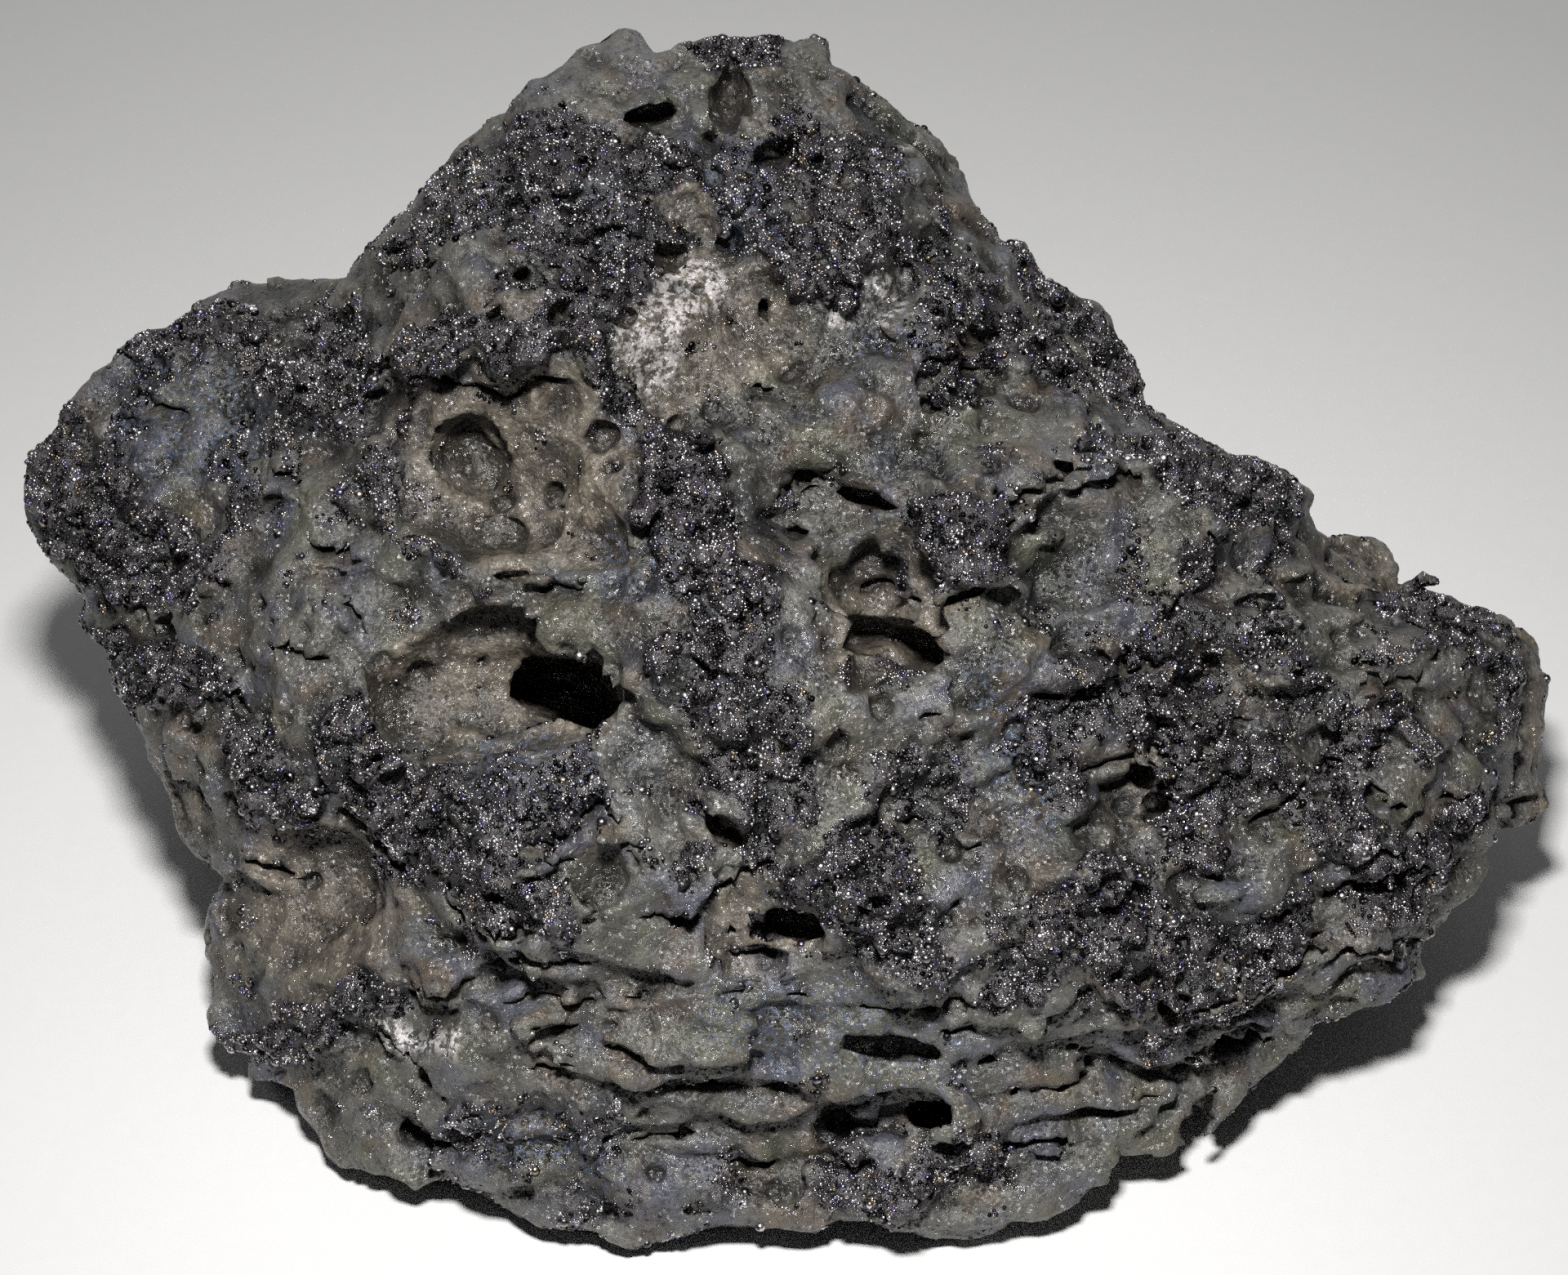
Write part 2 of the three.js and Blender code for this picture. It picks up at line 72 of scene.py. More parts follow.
# The rim of the rock in the view, clockwise from where the left lobe meets the peak
OUTLINE = [
    (426, 343), (435, 321), (450, 306), (472, 285), (502, 257), (514, 236), (548, 202), (554, 184),
    (576, 168), (603, 144), (625, 138), (631, 122), (649, 101), (667, 95), (692, 80), (704, 61), (744, 50),
    (750, 40), (762, 34), (778, 37), (802, 67), (817, 64), (830, 55), (857, 52), (882, 46), (920, 47),
    (939, 41), (955, 42), (972, 55), (985, 49), (1004, 42), (1014, 55), (1014, 78), (1056, 104),
    (1089, 127), (1115, 150), (1141, 166), (1160, 176), (1176, 202), (1186, 241), (1199, 260), (1219, 280),
    (1225, 299), (1255, 296), (1264, 319), (1274, 342), (1303, 351), (1316, 364), (1342, 371), (1359, 384),
    (1368, 410), (1388, 442), (1398, 468), (1398, 498), (1446, 524), (1466, 537), (1505, 561), (1525, 558),
    (1570, 576), (1606, 608), (1599, 625), (1606, 651), (1622, 660), (1648, 656), (1681, 660), (1703, 677),
    (1713, 696), (1707, 722), (1739, 703), (1759, 686), (1785, 693), (1817, 703), (1837, 722), (1840, 750),
    (1876, 778), (1886, 798), (1895, 824), (1895, 850), (1889, 863), (1892, 889), (1882, 908), (1889, 928),
    (1879, 950), (1895, 967), (1894, 986), (1876, 1006), (1863, 1025), (1837, 1045), (1830, 1064),
    (1814, 1084), (1811, 1107), (1785, 1120), (1746, 1149), (1739, 1175), (1746, 1194), (1720, 1207),
    (1694, 1230), (1648, 1240), (1609, 1250), (1590, 1282), (1544, 1325), (1505, 1364), (1453, 1412),
    (1414, 1429), (1375, 1445), (1355, 1461), (1316, 1474), (1284, 1494), (1245, 1507), (1219, 1514),
    (1173, 1518), (1128, 1513), (1095, 1507), (1069, 1492), (1024, 1494), (998, 1507), (918, 1502),
    (857, 1505), (827, 1514), (802, 1524), (772, 1527), (744, 1520), (729, 1508), (704, 1502), (667, 1502),
    (640, 1490), (612, 1472), (582, 1456), (551, 1444), (533, 1444), (508, 1456), (490, 1444), (447, 1432),
    (416, 1429), (398, 1410), (389, 1380), (367, 1358), (361, 1331), (334, 1322), (303, 1322), (291, 1294),
    (276, 1276), (257, 1257), (254, 1239), (266, 1220), (260, 1190), (251, 1168), (254, 1153), (257, 1116),
    (276, 1075), (254, 1055), (236, 1043), (217, 1012), (199, 948), (181, 927), (178, 902), (144, 841),
    (132, 792), (110, 777), (101, 757), (105, 735), (92, 716), (67, 692), (46, 661), (30, 620), (30, 595),
    (35, 570), (48, 545), (70, 525), (78, 500), (95, 475), (115, 455), (140, 445), (150, 425), (175, 410),
    (210, 400), (225, 388), (245, 368), (285, 345), (325, 339), (380, 342),
]

# Where the glassy crust lies on the face
CRUSTS = [
    [(828, 80), (830, 60), (850, 50), (880, 48), (940, 42), (960, 45), (960, 85), (925, 95), (895, 90),
     (870, 95), (845, 85)],
    [(505, 255), (520, 225), (550, 190), (600, 210), (650, 205), (690, 195), (687, 165), (705, 150),
     (730, 150), (750, 180), (760, 205), (815, 205), (845, 225), (860, 245), (790, 245), (768, 262),
     (775, 285), (800, 290), (845, 320), (850, 345), (808, 355), (790, 398), (753, 429), (745, 453),
     (765, 484), (800, 533), (830, 570), (815, 612), (753, 600), (720, 551), (705, 480), (655, 482),
     (643, 502), (618, 508), (594, 496), (533, 480), (502, 484), (465, 447), (453, 480), (400, 533),
     (300, 530), (350, 460), (400, 404), (420, 340), (450, 290)],
    [(300, 510), (280, 560), (255, 590), (300, 680), (320, 650), (310, 600), (300, 570)],
    [(410, 600), (440, 585), (470, 555), (490, 555), (490, 580), (475, 640), (440, 665), (405, 620)],
    [(508, 650), (540, 650), (570, 690), (600, 700), (600, 745), (550, 750), (520, 710)],
    [(398, 850), (425, 840), (452, 860), (445, 900), (405, 895)],
    [(20, 600), (40, 520), (90, 450), (150, 410), (240, 370), (240, 400), (150, 450), (100, 510), (90, 600),
     (130, 600), (240, 600), (250, 690), (180, 710), (110, 740), (60, 700)],
    [(105, 740), (150, 760), (200, 775), (240, 800), (275, 830), (285, 850), (250, 860), (200, 870),
     (150, 840), (110, 790)],
    [(790, 570), (830, 555), (870, 540), (890, 560), (895, 620), (905, 650), (950, 660), (960, 700),
     (960, 740), (930, 780), (935, 830), (980, 860), (1000, 920), (1010, 1000), (1000, 1060), (940, 1060),
     (900, 1000), (860, 950), (880, 900), (850, 850), (800, 855), (770, 830), (775, 790), (765, 745),
     (775, 720), (770, 690), (795, 640)],
    [(880, 240), (900, 228), (940, 215), (965, 189), (1000, 176), (1095, 172), (1101, 200), (1101, 290),
     (1134, 318), (1173, 306), (1199, 267), (1218, 300), (1238, 325), (1238, 351), (1186, 351), (1160, 325),
     (1110, 320), (1080, 340), (1050, 360), (1000, 370), (980, 360), (945, 330), (920, 320), (895, 310),
     (880, 280)],
    [(1105, 600), (1160, 590), (1230, 580), (1240, 620), (1225, 680), (1200, 710), (1160, 740), (1140, 740),
     (1125, 710), (1110, 650)],
    [(1410, 590), (1450, 550), (1500, 545), (1560, 560), (1610, 600), (1590, 650), (1540, 650), (1490, 650),
     (1460, 630), (1450, 610)],
    [(1740, 720), (1790, 690), (1830, 700), (1850, 770), (1800, 800), (1750, 790)],
    [(1560, 790), (1620, 780), (1650, 830), (1640, 890), (1580, 890)],
    [(1490, 900), (1560, 890), (1600, 920), (1590, 990), (1520, 1000)],
    [(398, 945), (453, 951), (502, 920), (533, 933), (582, 945), (612, 927), (661, 927), (716, 908),
     (735, 945), (759, 982), (753, 1006), (704, 1043), (643, 1067), (612, 1080), (600, 1116), (661, 1129),
     (698, 1104), (698, 1141), (649, 1153), (600, 1153), (551, 1110), (520, 1067), (502, 1043), (478, 1006),
     (447, 988), (423, 1000)],
    [(790, 1060), (850, 1050), (870, 1060), (855, 1100), (840, 1125), (785, 1120)],
    [(460, 1050), (500, 1060), (500, 1230), (465, 1220)],
    [(240, 1230), (300, 1225), (350, 1200), (430, 1210), (455, 1240), (420, 1280), (350, 1295), (290, 1320),
     (250, 1270)],
    [(939, 1084), (1030, 1012), (1089, 1025), (1108, 1064), (1141, 1103), (1160, 1129), (1154, 1181),
     (1121, 1201), (1082, 1194), (1043, 1142), (998, 1123), (939, 1116)],
    [(1193, 1064), (1290, 1051), (1355, 1012), (1394, 1006), (1420, 1038), (1414, 1077), (1453, 1097),
     (1525, 1090), (1583, 1084), (1609, 1103), (1603, 1168), (1557, 1201), (1486, 1240), (1420, 1272),
     (1355, 1272), (1303, 1214), (1251, 1194), (1225, 1155), (1206, 1116)],
    [(1240, 290), (1300, 330), (1420, 460), (1420, 520), (1520, 560), (1480, 575), (1400, 560), (1330, 500),
     (1260, 400)],
]
# Smooth places within the crust
BARES = [
    [(453, 306), (502, 308), (606, 306), (625, 343), (606, 361), (588, 392), (625, 416), (618, 435),
     (588, 429), (545, 404), (502, 401), (484, 423), (453, 416), (441, 380), (429, 343)],
    [(770, 262), (800, 245), (850, 250), (870, 275), (850, 330), (800, 300), (772, 285)],
    [(745, 430), (770, 400), (850, 360), (905, 360), (900, 420), (830, 500), (780, 510), (745, 470)],
    [(1415, 1020), (1470, 1000), (1530, 1010), (1550, 1050), (1530, 1085), (1480, 1095), (1430, 1080),
     (1410, 1050)],
    [(1240, 620), (1320, 600), (1540, 660), (1560, 740), (1430, 745), (1300, 740), (1240, 700)],
    [(1660, 850), (1700, 830), (1780, 840), (1790, 900), (1720, 935), (1670, 900)],
]
# Where the crust is broken up into specks
HALF_CRUSTS = [
    [(1160, 700), (1300, 640), (1560, 700), (1760, 720), (1880, 790), (1890, 1040), (1800, 1130),
     (1640, 1180), (1540, 1100), (1400, 1010), (1300, 1050), (1180, 1060), (1010, 1000), (1000, 870),
     (1120, 800)],
    [(260, 900), (400, 900), (470, 1000), (300, 1000)],
    [(120, 420), (420, 350), (420, 430), (300, 560), (140, 600)],
    [(1150, 330), (1240, 360), (1250, 420), (1310, 460), (1340, 520), (1390, 570), (1300, 600), (1250, 590),
     (1200, 560), (1160, 520), (1140, 440)],
    [(1150, 840), (1250, 790), (1400, 750), (1430, 800), (1400, 900), (1280, 960), (1160, 960), (1010, 950),
     (1020, 880)],
    [(560, 1350), (760, 1330), (760, 1440), (700, 1480), (1300, 1380), (1330, 1450), (1000, 1500),
     (700, 1500), (560, 1440)],
    [(1700, 930), (1900, 900), (1900, 1060), (1760, 1140), (1640, 1160), (1620, 1060)],
]

# Where the skin is tan or brown, where it is silvery and where it has a blue sheen
TANS = [
    [(770, 260), (800, 245), (850, 250), (870, 265), (880, 300), (900, 330), (950, 350), (985, 400),
     (975, 440), (940, 470), (900, 500), (850, 530), (810, 560), (790, 540), (770, 500), (745, 470),
     (760, 430), (850, 360)],
    [(490, 475), (600, 495), (715, 480), (725, 560), (770, 640), (770, 700), (560, 690), (500, 640)],
    [(465, 838), (560, 770), (655, 765), (690, 812), (745, 850), (730, 895), (640, 930), (500, 920),
     (465, 880)],
    [(1008, 720), (1035, 675), (1105, 665), (1150, 760), (1150, 810), (1100, 850), (1035, 850),
     (1030, 760)],
    [(370, 1010), (400, 1000), (450, 1030), (475, 1100), (430, 1190), (350, 1170), (280, 1100),
     (290, 1060)],
    [(1430, 780), (1530, 780), (1540, 860), (1450, 880)],
    [(1330, 940), (1440, 940), (1440, 1010), (1330, 1010)],
    [(880, 1100), (960, 1100), (1000, 1160), (930, 1205), (870, 1180)],
    [(1600, 655), (1710, 655), (1700, 760), (1620, 740)],
    [(1840, 760), (1895, 780), (1895, 1040), (1850, 1040)],
    [(200, 880), (330, 900), (350, 1000), (250, 1000)],
]
SILVERS = [
    [(800, 400), (850, 365), (895, 360), (900, 385), (880, 430), (830, 480), (800, 505), (770, 490),
     (745, 460), (770, 430)],
    [(470, 1250), (560, 1280), (560, 1310), (480, 1290)],
    [(975, 330), (1110, 330), (1100, 395), (990, 400)],
    [(1470, 590), (1500, 582), (1512, 600), (1500, 622), (1475, 618)],
    [(1085, 160), (1105, 160), (1105, 182), (1085, 182)],
    [(130, 515), (158, 520), (150, 560), (132, 550)],
]
BLUES = [
    [(1060, 400), (1150, 400), (1150, 440), (1060, 440)],
    [(740, 280), (770, 280), (770, 320), (740, 320)],
    [(580, 920), (710, 920), (710, 980), (580, 980)],
    [(1170, 840), (1260, 840), (1300, 1000), (1220, 1020)],
    [(1310, 540), (1370, 540), (1370, 600), (1310, 600)],
    [(750, 660), (830, 660), (830, 720), (750, 720)],
    [(880, 200), (960, 200), (960, 330), (900, 330)],
    [(560, 1380), (760, 1380), (760, 1460), (600, 1460)],
    [(150, 450), (300, 450), (300, 580), (150, 580)],
    [(860, 1220), (1160, 1220), (1160, 1330), (900, 1330)],
]
STREAKS = [
    [(1150, 650), (1850, 700), (1850, 1200), (1000, 1240), (980, 900)],
    [(560, 1200), (1750, 1200), (1450, 1540), (560, 1540)],
]

# Gas holes of the face, in order of cutting: rim, depth and how far the wall goes in under it, in millimetres
POCKETS = [
    {"name": "window", "depth": 2.2, "under": -0.7,
     "rim": [(500, 468), (533, 462), (557, 475), (594, 478), (618, 490), (643, 484), (655, 466), (700, 462),
             (716, 490), (720, 540), (735, 590), (770, 640), (772, 690), (740, 700), (650, 702), (560, 690),
             (505, 650), (488, 580), (487, 510)]},
    {"name": "cave", "depth": 5.6, "under": 1.3,
     "rim": [(465, 838), (500, 820), (530, 800), (560, 775), (590, 755), (655, 760), (655, 780), (665, 800),
             (690, 812), (720, 815), (740, 830), (748, 850), (745, 880), (730, 895), (690, 915), (640, 925),
             (560, 925), (500, 915), (470, 880)]},
    {"name": "throat of the cave", "depth": 13, "under": 1.2,
     "rim": [(636, 846), (650, 820), (690, 812), (720, 818), (740, 832), (748, 850), (745, 878), (725, 888),
             (690, 876), (655, 862)]},
    {"name": "twin hole, middle", "depth": 9, "under": 0.6,
     "rim": [(1036, 790), (1046, 766), (1080, 764), (1110, 772), (1154, 792), (1152, 816), (1120, 815),
             (1085, 797), (1055, 797)]},
    {"name": "twin hole, upper", "depth": 3.4, "under": 1.5,
     "rim": [(1008, 722), (1013, 692), (1035, 672), (1060, 657), (1105, 660), (1132, 690), (1144, 730),
             (1154, 768), (1120, 764), (1080, 756), (1040, 746), (1015, 738)]},
    {"name": "twin hole, lower", "depth": 1.8, "under": -0.5,
     "rim": [(1033, 825), (1046, 806), (1080, 803), (1108, 820), (1088, 840), (1060, 854), (1036, 850)]},
    {"name": "left bubble", "depth": 2.4, "under": -0.6,
     "rim": [(370, 1010), (400, 1000), (450, 1030), (470, 1060), (475, 1100), (460, 1150), (430, 1190),
             (400, 1190), (350, 1170), (300, 1150), (280, 1100), (290, 1060), (330, 1050)]},
    {"name": "peak slot", "depth": 4, "under": 0.3,
     "rim": [(757, 150), (765, 135), (790, 127), (815, 123), (830, 128), (828, 145), (805, 155),
             (780, 157)]},
    {"name": "recess under the ledge", "depth": 1.7, "under": 0.3,
     "rim": [(870, 1105), (905, 1075), (945, 1068), (960, 1090), (1000, 1110), (1005, 1160), (980, 1195),
             (930, 1205), (880, 1200), (860, 1160)]},
    {"name": "foot slit", "depth": 2.8, "under": 0.5,
     "rim": [(1018, 1276), (1040, 1262), (1080, 1268), (1130, 1278), (1168, 1292), (1130, 1297),
             (1070, 1293), (1030, 1288)]},
    {"name": "foot cave", "depth": 2.0, "under": 0.4,
     "rim": [(955, 1398), (980, 1375), (1030, 1352), (1060, 1340), (1100, 1336), (1150, 1340), (1167, 1352),
             (1165, 1378), (1130, 1385), (1090, 1375), (1040, 1385), (990, 1400)]},
]
# Round ones: middle, half width and half height in pixels, turn in degrees anticlockwise, depth and undercut
ROUND_POCKETS = [
    (577, 556, 43, 52, 8, 1.9, 0.4),
    (608, 658, 38, 26, 0, 1.5, 0.4),
    (622, 705, 23, 6, 0, 1.6, 0.2),
    (390, 560, 50, 38, 20, 1.3, -0.5),
    (893, 127, 23, 38, -12, 4.0, 0.3),
    (872, 171, 14, 6, -30, 3.0, 0.2),
    (946, 187, 19, 12, 20, 3.5, 0.4),
    (820, 315, 17, 15, 0, 2.2, 0.4),
    (640, 335, 12, 12, 0, 2.2, 0.3),
    (605, 385, 10, 9, 0, 2.0, 0.3),
    (680, 385, 9, 9, 0, 2.0, 0.3),
    (770, 390, 6, 6, 0, 1.6, 0.2),
    (475, 440, 9, 8, 0, 2.0, 0.3),
    (515, 375, 25, 24, 0, 0.9, 0.1),
    (935, 378, 8, 13, 0, 2.6, 0.3),
    (1225, 360, 12, 13, 0, 2.4, 0.3),
    (1195, 415, 20, 8, 10, 2.2, 0.4),
    (977, 652, 14, 7, 10, 2.2, 0.3),
    (1066, 612, 38, 8, -18, 4.5, 0.3),
    (737, 1072, 38, 42, 0, 1.3, 0.2),
    (922, 1182, 37, 19, 0, 1.1, 0.2),
    (888, 1017, 22, 11, -40, 3.0, 0.3),
    (975, 1130, 36, 12, -15, 5.0, 0.5),
    (1382, 975, 52, 34, -20, 1.4, -0.3),
    (1400, 950, 13, 11, 0, 3.4, 0.4),
    (1415, 985, 14, 13, 0, 3.4, 0.4),
    (1140, 1364, 26, 15, -10, 9.0, 0.6),
    (1485, 830, 55, 48, 0, 1.4, -0.4),
    (1180, 730, 34, 9, 25, 4.0, 0.4),
]

# Ledges of the face: each line runs along the foot of a ledge that overhangs it from above
LEDGES = [
    [(310, 580), (345, 595), (375, 622)],
    [(370, 668), (395, 690), (425, 700), (445, 690)],
    [(385, 735), (400, 745)],
    [(410, 740), (425, 760), (440, 780)],
    [(255, 710), (285, 725)],
    [(330, 805), (360, 805), (400, 815)],
    [(250, 855), (280, 860), (305, 875)],
    [(368, 972), (395, 988)],
    [(410, 1000), (440, 1015), (465, 1045), (485, 1065)],
    [(300, 1058), (330, 1065), (365, 1080)],
    [(452, 1120), (472, 1118)],
    [(545, 1110), (570, 1130), (590, 1150), (620, 1155), (650, 1150)],
    [(600, 1185), (640, 1180), (680, 1185), (725, 1180)],
    [(500, 1200), (515, 1220), (545, 1225), (580, 1205)],
    [(455, 1262), (480, 1285), (505, 1300), (530, 1325)],
    [(650, 1262), (700, 1262)],
    [(650, 1312), (700, 1308)],
    [(560, 1375), (590, 1370)],
    [(495, 1370), (515, 1395), (560, 1410)],
    [(735, 1285), (800, 1310)],
    [(700, 1022), (760, 1020)],
    [(640, 1065), (700, 1060)],
    [(760, 1035), (775, 1050), (778, 1065)],
    [(845, 980), (870, 1010), (895, 1030), (920, 1033)],
    [(785, 1125), (845, 1130), (870, 1100), (905, 1070), (945, 1065)],
    [(885, 1170), (920, 1165), (950, 1175)],
    [(1230, 680), (1240, 650), (1255, 625), (1280, 605), (1330, 595), (1400, 590)],
    [(1268, 854), (1296, 853)],
    [(1418, 856), (1442, 855)],
    [(1508, 886), (1536, 884)],
    [(1103, 1009), (1127, 1008)],
    [(1320, 945), (1365, 935), (1410, 940), (1445, 948)],
    [(1665, 850), (1700, 840), (1745, 835)],
    [(1130, 882), (1150, 879)],
    [(1058, 1033), (1087, 1031)],
    [(1538, 748), (1572, 745)],
    [(1763, 857), (1787, 854)],
    [(1668, 981), (1697, 979)],
    [(1688, 1001), (1722, 999)],
    [(1763, 982), (1802, 979)],
    [(1630, 1105), (1650, 1085), (1690, 1080), (1715, 1070), (1750, 1060)],
    [(1530, 1130), (1560, 1130), (1580, 1145)],
    [(1430, 1262), (1450, 1245), (1500, 1238), (1535, 1225), (1560, 1205), (1600, 1185), (1640, 1172),
     (1680, 1168), (1720, 1175), (1745, 1195)],
    [(1440, 1310), (1480, 1290), (1530, 1275), (1560, 1275)],
    [(1310, 1285), (1350, 1290), (1380, 1300)],
    [(1150, 1267), (1195, 1266)],
    [(1198, 1299), (1218, 1298)],
    [(1015, 1366), (1070, 1350)],
    [(898, 1431), (947, 1430)],
    [(1228, 1407), (1312, 1404)],
    [(1383, 1349), (1422, 1346)],
    [(492, 480), (500, 466), (533, 461), (557, 474), (594, 478), (618, 490), (643, 484), (656, 466),
     (690, 464)],
]
# Thin creases of the skin
CREASES = [
    [(955, 601), (990, 590), (1030, 573)],
    [(950, 612), (985, 604), (1025, 590)],
    [(905, 470), (930, 490), (960, 498)],
    [(1045, 728), (1085, 716), (1130, 742)],
    [(1150, 470), (1190, 462), (1230, 470)],
    [(1310, 850), (1360, 832), (1420, 820)],
    [(1450, 940), (1500, 925)],
    [(1620, 940), (1660, 925), (1700, 920)],
    [(860, 1225), (930, 1215), (1000, 1222)],
    [(620, 1230), (700, 1235), (790, 1228)],
    [(1050, 1235), (1120, 1240), (1200, 1232)],
    [(820, 1340), (900, 1330), (960, 1338)],
    [(760, 1400), (830, 1395)],
    [(1250, 1340), (1330, 1330)],
    [(640, 730), (680, 720), (720, 735)],
    [(880, 700), (900, 730), (905, 765)],
    [(210, 640), (240, 655), (262, 680)],
    [(150, 520), (190, 505), (230, 510)],
]


# Places in the view


def project(x, y, z):
    """The pixel and the depth that the view sees each place at."""
    up = (y - ROCK_MIDDLE[1]) * UP[1] + (z - ROCK_MIDDLE[2]) * UP[2]
    depth = (y - ROCK_MIDDLE[1]) * TO_EYE[1] + (z - ROCK_MIDDLE[2]) * TO_EYE[2]
    size = (1 - depth / EYE_DISTANCE) * MM_PER_PIXEL
    return VIEW_MIDDLE[0] + (x - ROCK_MIDDLE[0]) / size, VIEW_MIDDLE[1] - up / size, depth


def place(pixels, depths):
    """The points that pixels show, at their depths."""
    pixels = np.asarray(pixels, float)
    depths = np.asarray(depths, float)[..., None]
    size = (1 - depths / EYE_DISTANCE) * MM_PER_PIXEL
    right = (pixels[..., :1] - VIEW_MIDDLE[0]) * size
    up = (VIEW_MIDDLE[1] - pixels[..., 1:]) * size
    return ROCK_MIDDLE + right * RIGHT + up * UP + depths * TO_EYE


def smoothstep(low, high, value):
    share = np.clip((value - low) / (high - low), 0, 1)
    return share * share * (3 - 2 * share)


def inside_by(x, y, edge):
    """Signed distance in pixels from a closed edge, positive inside."""
    nearest = np.full(np.broadcast(x, y).shape, np.inf, np.float32)
    inside = np.zeros(nearest.shape, bool)
    for (ax, ay), (bx, by) in zip(edge, [*edge[1:], edge[0]]):
        dx, dy = bx - ax, by - ay
        along = np.clip(((x - ax) * dx + (y - ay) * dy) / (dx * dx + dy * dy), 0, 1)
        nearest = np.minimum(nearest, np.hypot(x - ax - along * dx, y - ay - along * dy))
        if dy:
            inside ^= ((ay > y) != (by > y)) & (x < ax + (y - ay) * dx / dy)
    return np.where(inside, nearest, -nearest)


def window(points, margin):
    """The part of a map round some pixels."""
    low = np.min(points, axis=0) - margin
    high = np.max(points, axis=0) + margin
    columns = slice(*np.searchsorted(MAP_X, (low[0], high[0])))
    rows = slice(*np.searchsorted(MAP_Y, (low[1], high[1])))
    return (rows, columns), MAP_X[None, columns], MAP_Y[rows, None]


def zone_map(edges, reach=ZONE_REACH):
    """How far in millimetres each pixel is inside the nearest of several edges."""
    values = np.full((len(MAP_Y), len(MAP_X)), -reach * MM_PER_PIXEL, np.float32)
    for edge in edges:
        part, x, y = window(edge, reach)
        values[part] = np.maximum(values[part], inside_by(x, y, edge) * MM_PER_PIXEL)
    return values


def read_map(values, x, y):
    """A map's values at pixels, between the ones that it holds."""
    column = np.clip((x + MAP_MARGIN) / MAP_STEP, 0, len(MAP_X) - JUST_INSIDE)
    row = np.clip((y + MAP_MARGIN) / MAP_STEP, 0, len(MAP_Y) - JUST_INSIDE)
    c, r = column.astype(np.int32), row.astype(np.int32)
    s, t = column - c, row - r
    flat = values.ravel()
    start = r * len(MAP_X) + c
    upper = flat[start] * (1 - s) + flat[start + 1] * s
    lower = flat[start + len(MAP_X)] * (1 - s) + flat[start + len(MAP_X) + 1] * s
    return upper * (1 - t) + lower * t


# Random fields


def spline_parts(t):
    """Weights of the four knots round a place, which is t of the way between the middle two."""
    return ((1 - t) ** 3 / 6, (3 * t**3 - 6 * t**2 + 4) / 6, (3 * t + 3 * t**2 - 3 * t**3 + 1) / 6, t**3 / 6)


def spread(knots, axis, size):
    """Knots that are so many millimetres apart along an axis, spread smoothly over the block's cells."""
    where = np.arange(CELLS[axis]) * (CELL / size)
    first = where.astype(int)
    shape = [-1 if k == axis else 1 for k in range(3)]
    total = 0
    for k, part in enumerate(spline_parts(where - first)):
        total = total + np.take(knots, first + k, axis) * part.astype(np.float32).reshape(shape)
    return total


NOISE_GAIN = 3.2  # brings the smoothed knots back to about -1 to 1
EDGE_KNOTS = 5  # knots beyond the block that the curves near its edge need
FAR_OFF = 9  # more than the square of any distance to the nearest spot, in boxes


def noise_block(sizes, seed):
    """A smooth random field over the block, with lumps of these sizes."""
    counts = [int(count * CELL / size) + EDGE_KNOTS for count, size in zip(CELLS, sizes)]
    field = np.random.default_rng(seed).uniform(-NOISE_GAIN, NOISE_GAIN, counts).astype(np.float32)
    for axis, size in enumerate(sizes):
        field = spread(field, axis, size)
    return field


def table_size(size):
    """How many boxes of this size cover the block along each axis, and those round it."""
    return [int(count * CELL / size) + EDGE_KNOTS + 1 for count in CELLS]


def noise_at(points, size, seed):
    """The same kind of field at points."""
    where = (points - LOW) / size
    first = np.floor(where).astype(np.int32)
    parts = spline_parts((where - first).astype(np.float32))
    count = table_size(size)
    knots = np.random.default_rng(seed).uniform(-NOISE_GAIN, NOISE_GAIN, count).astype(np.float32).ravel()
    total = np.zeros(len(points), np.float32)
    start = (first[:, 0] * count[1] + first[:, 1]) * count[2] + first[:, 2]
    for i in range(4):
        for j in range(4):
            weight = parts[i][:, 0] * parts[j][:, 1]
            for k in range(4):
                total += weight * parts[k][:, 2] * knots[start + (i * count[1] + j) * count[2] + k]
    return total


def nearest_cell(points, size, seed):
    """Distance to the nearest of spots scattered one to a box, as a share of a box, and the spot's chance."""
    where = (points - LOW) / size + 1
    home = np.floor(where).astype(np.int32)
    count = table_size(size)
    spots = np.random.default_rng(seed).random((*count, 4), dtype=np.float32).reshape(-1, 4)
    nearest = np.full(len(points), FAR_OFF, np.float32)
    chance = np.zeros(len(points), np.float32)
    offset = (where - home).astype(np.float32)
    start = (home[:, 0] * count[1] + home[:, 1]) * count[2] + home[:, 2]
    for i in (-1, 0, 1):
        for j in (-1, 0, 1):
            for k in (-1, 0, 1):
                spot = spots[start + (i * count[1] + j) * count[2] + k]
                away = spot[:, :3] + np.array([i, j, k], np.float32) - offset
                square = np.einsum("nk,nk->n", away, away)
                closer = square < nearest
                nearest[closer] = square[closer]
                chance[closer] = spot[closer, 3]
    return np.sqrt(nearest), chance


# The block


def centres(axis):
    """Places of the cells along an axis."""
    return (LOW[axis] + np.arange(CELLS[axis]) * CELL).astype(np.float32)


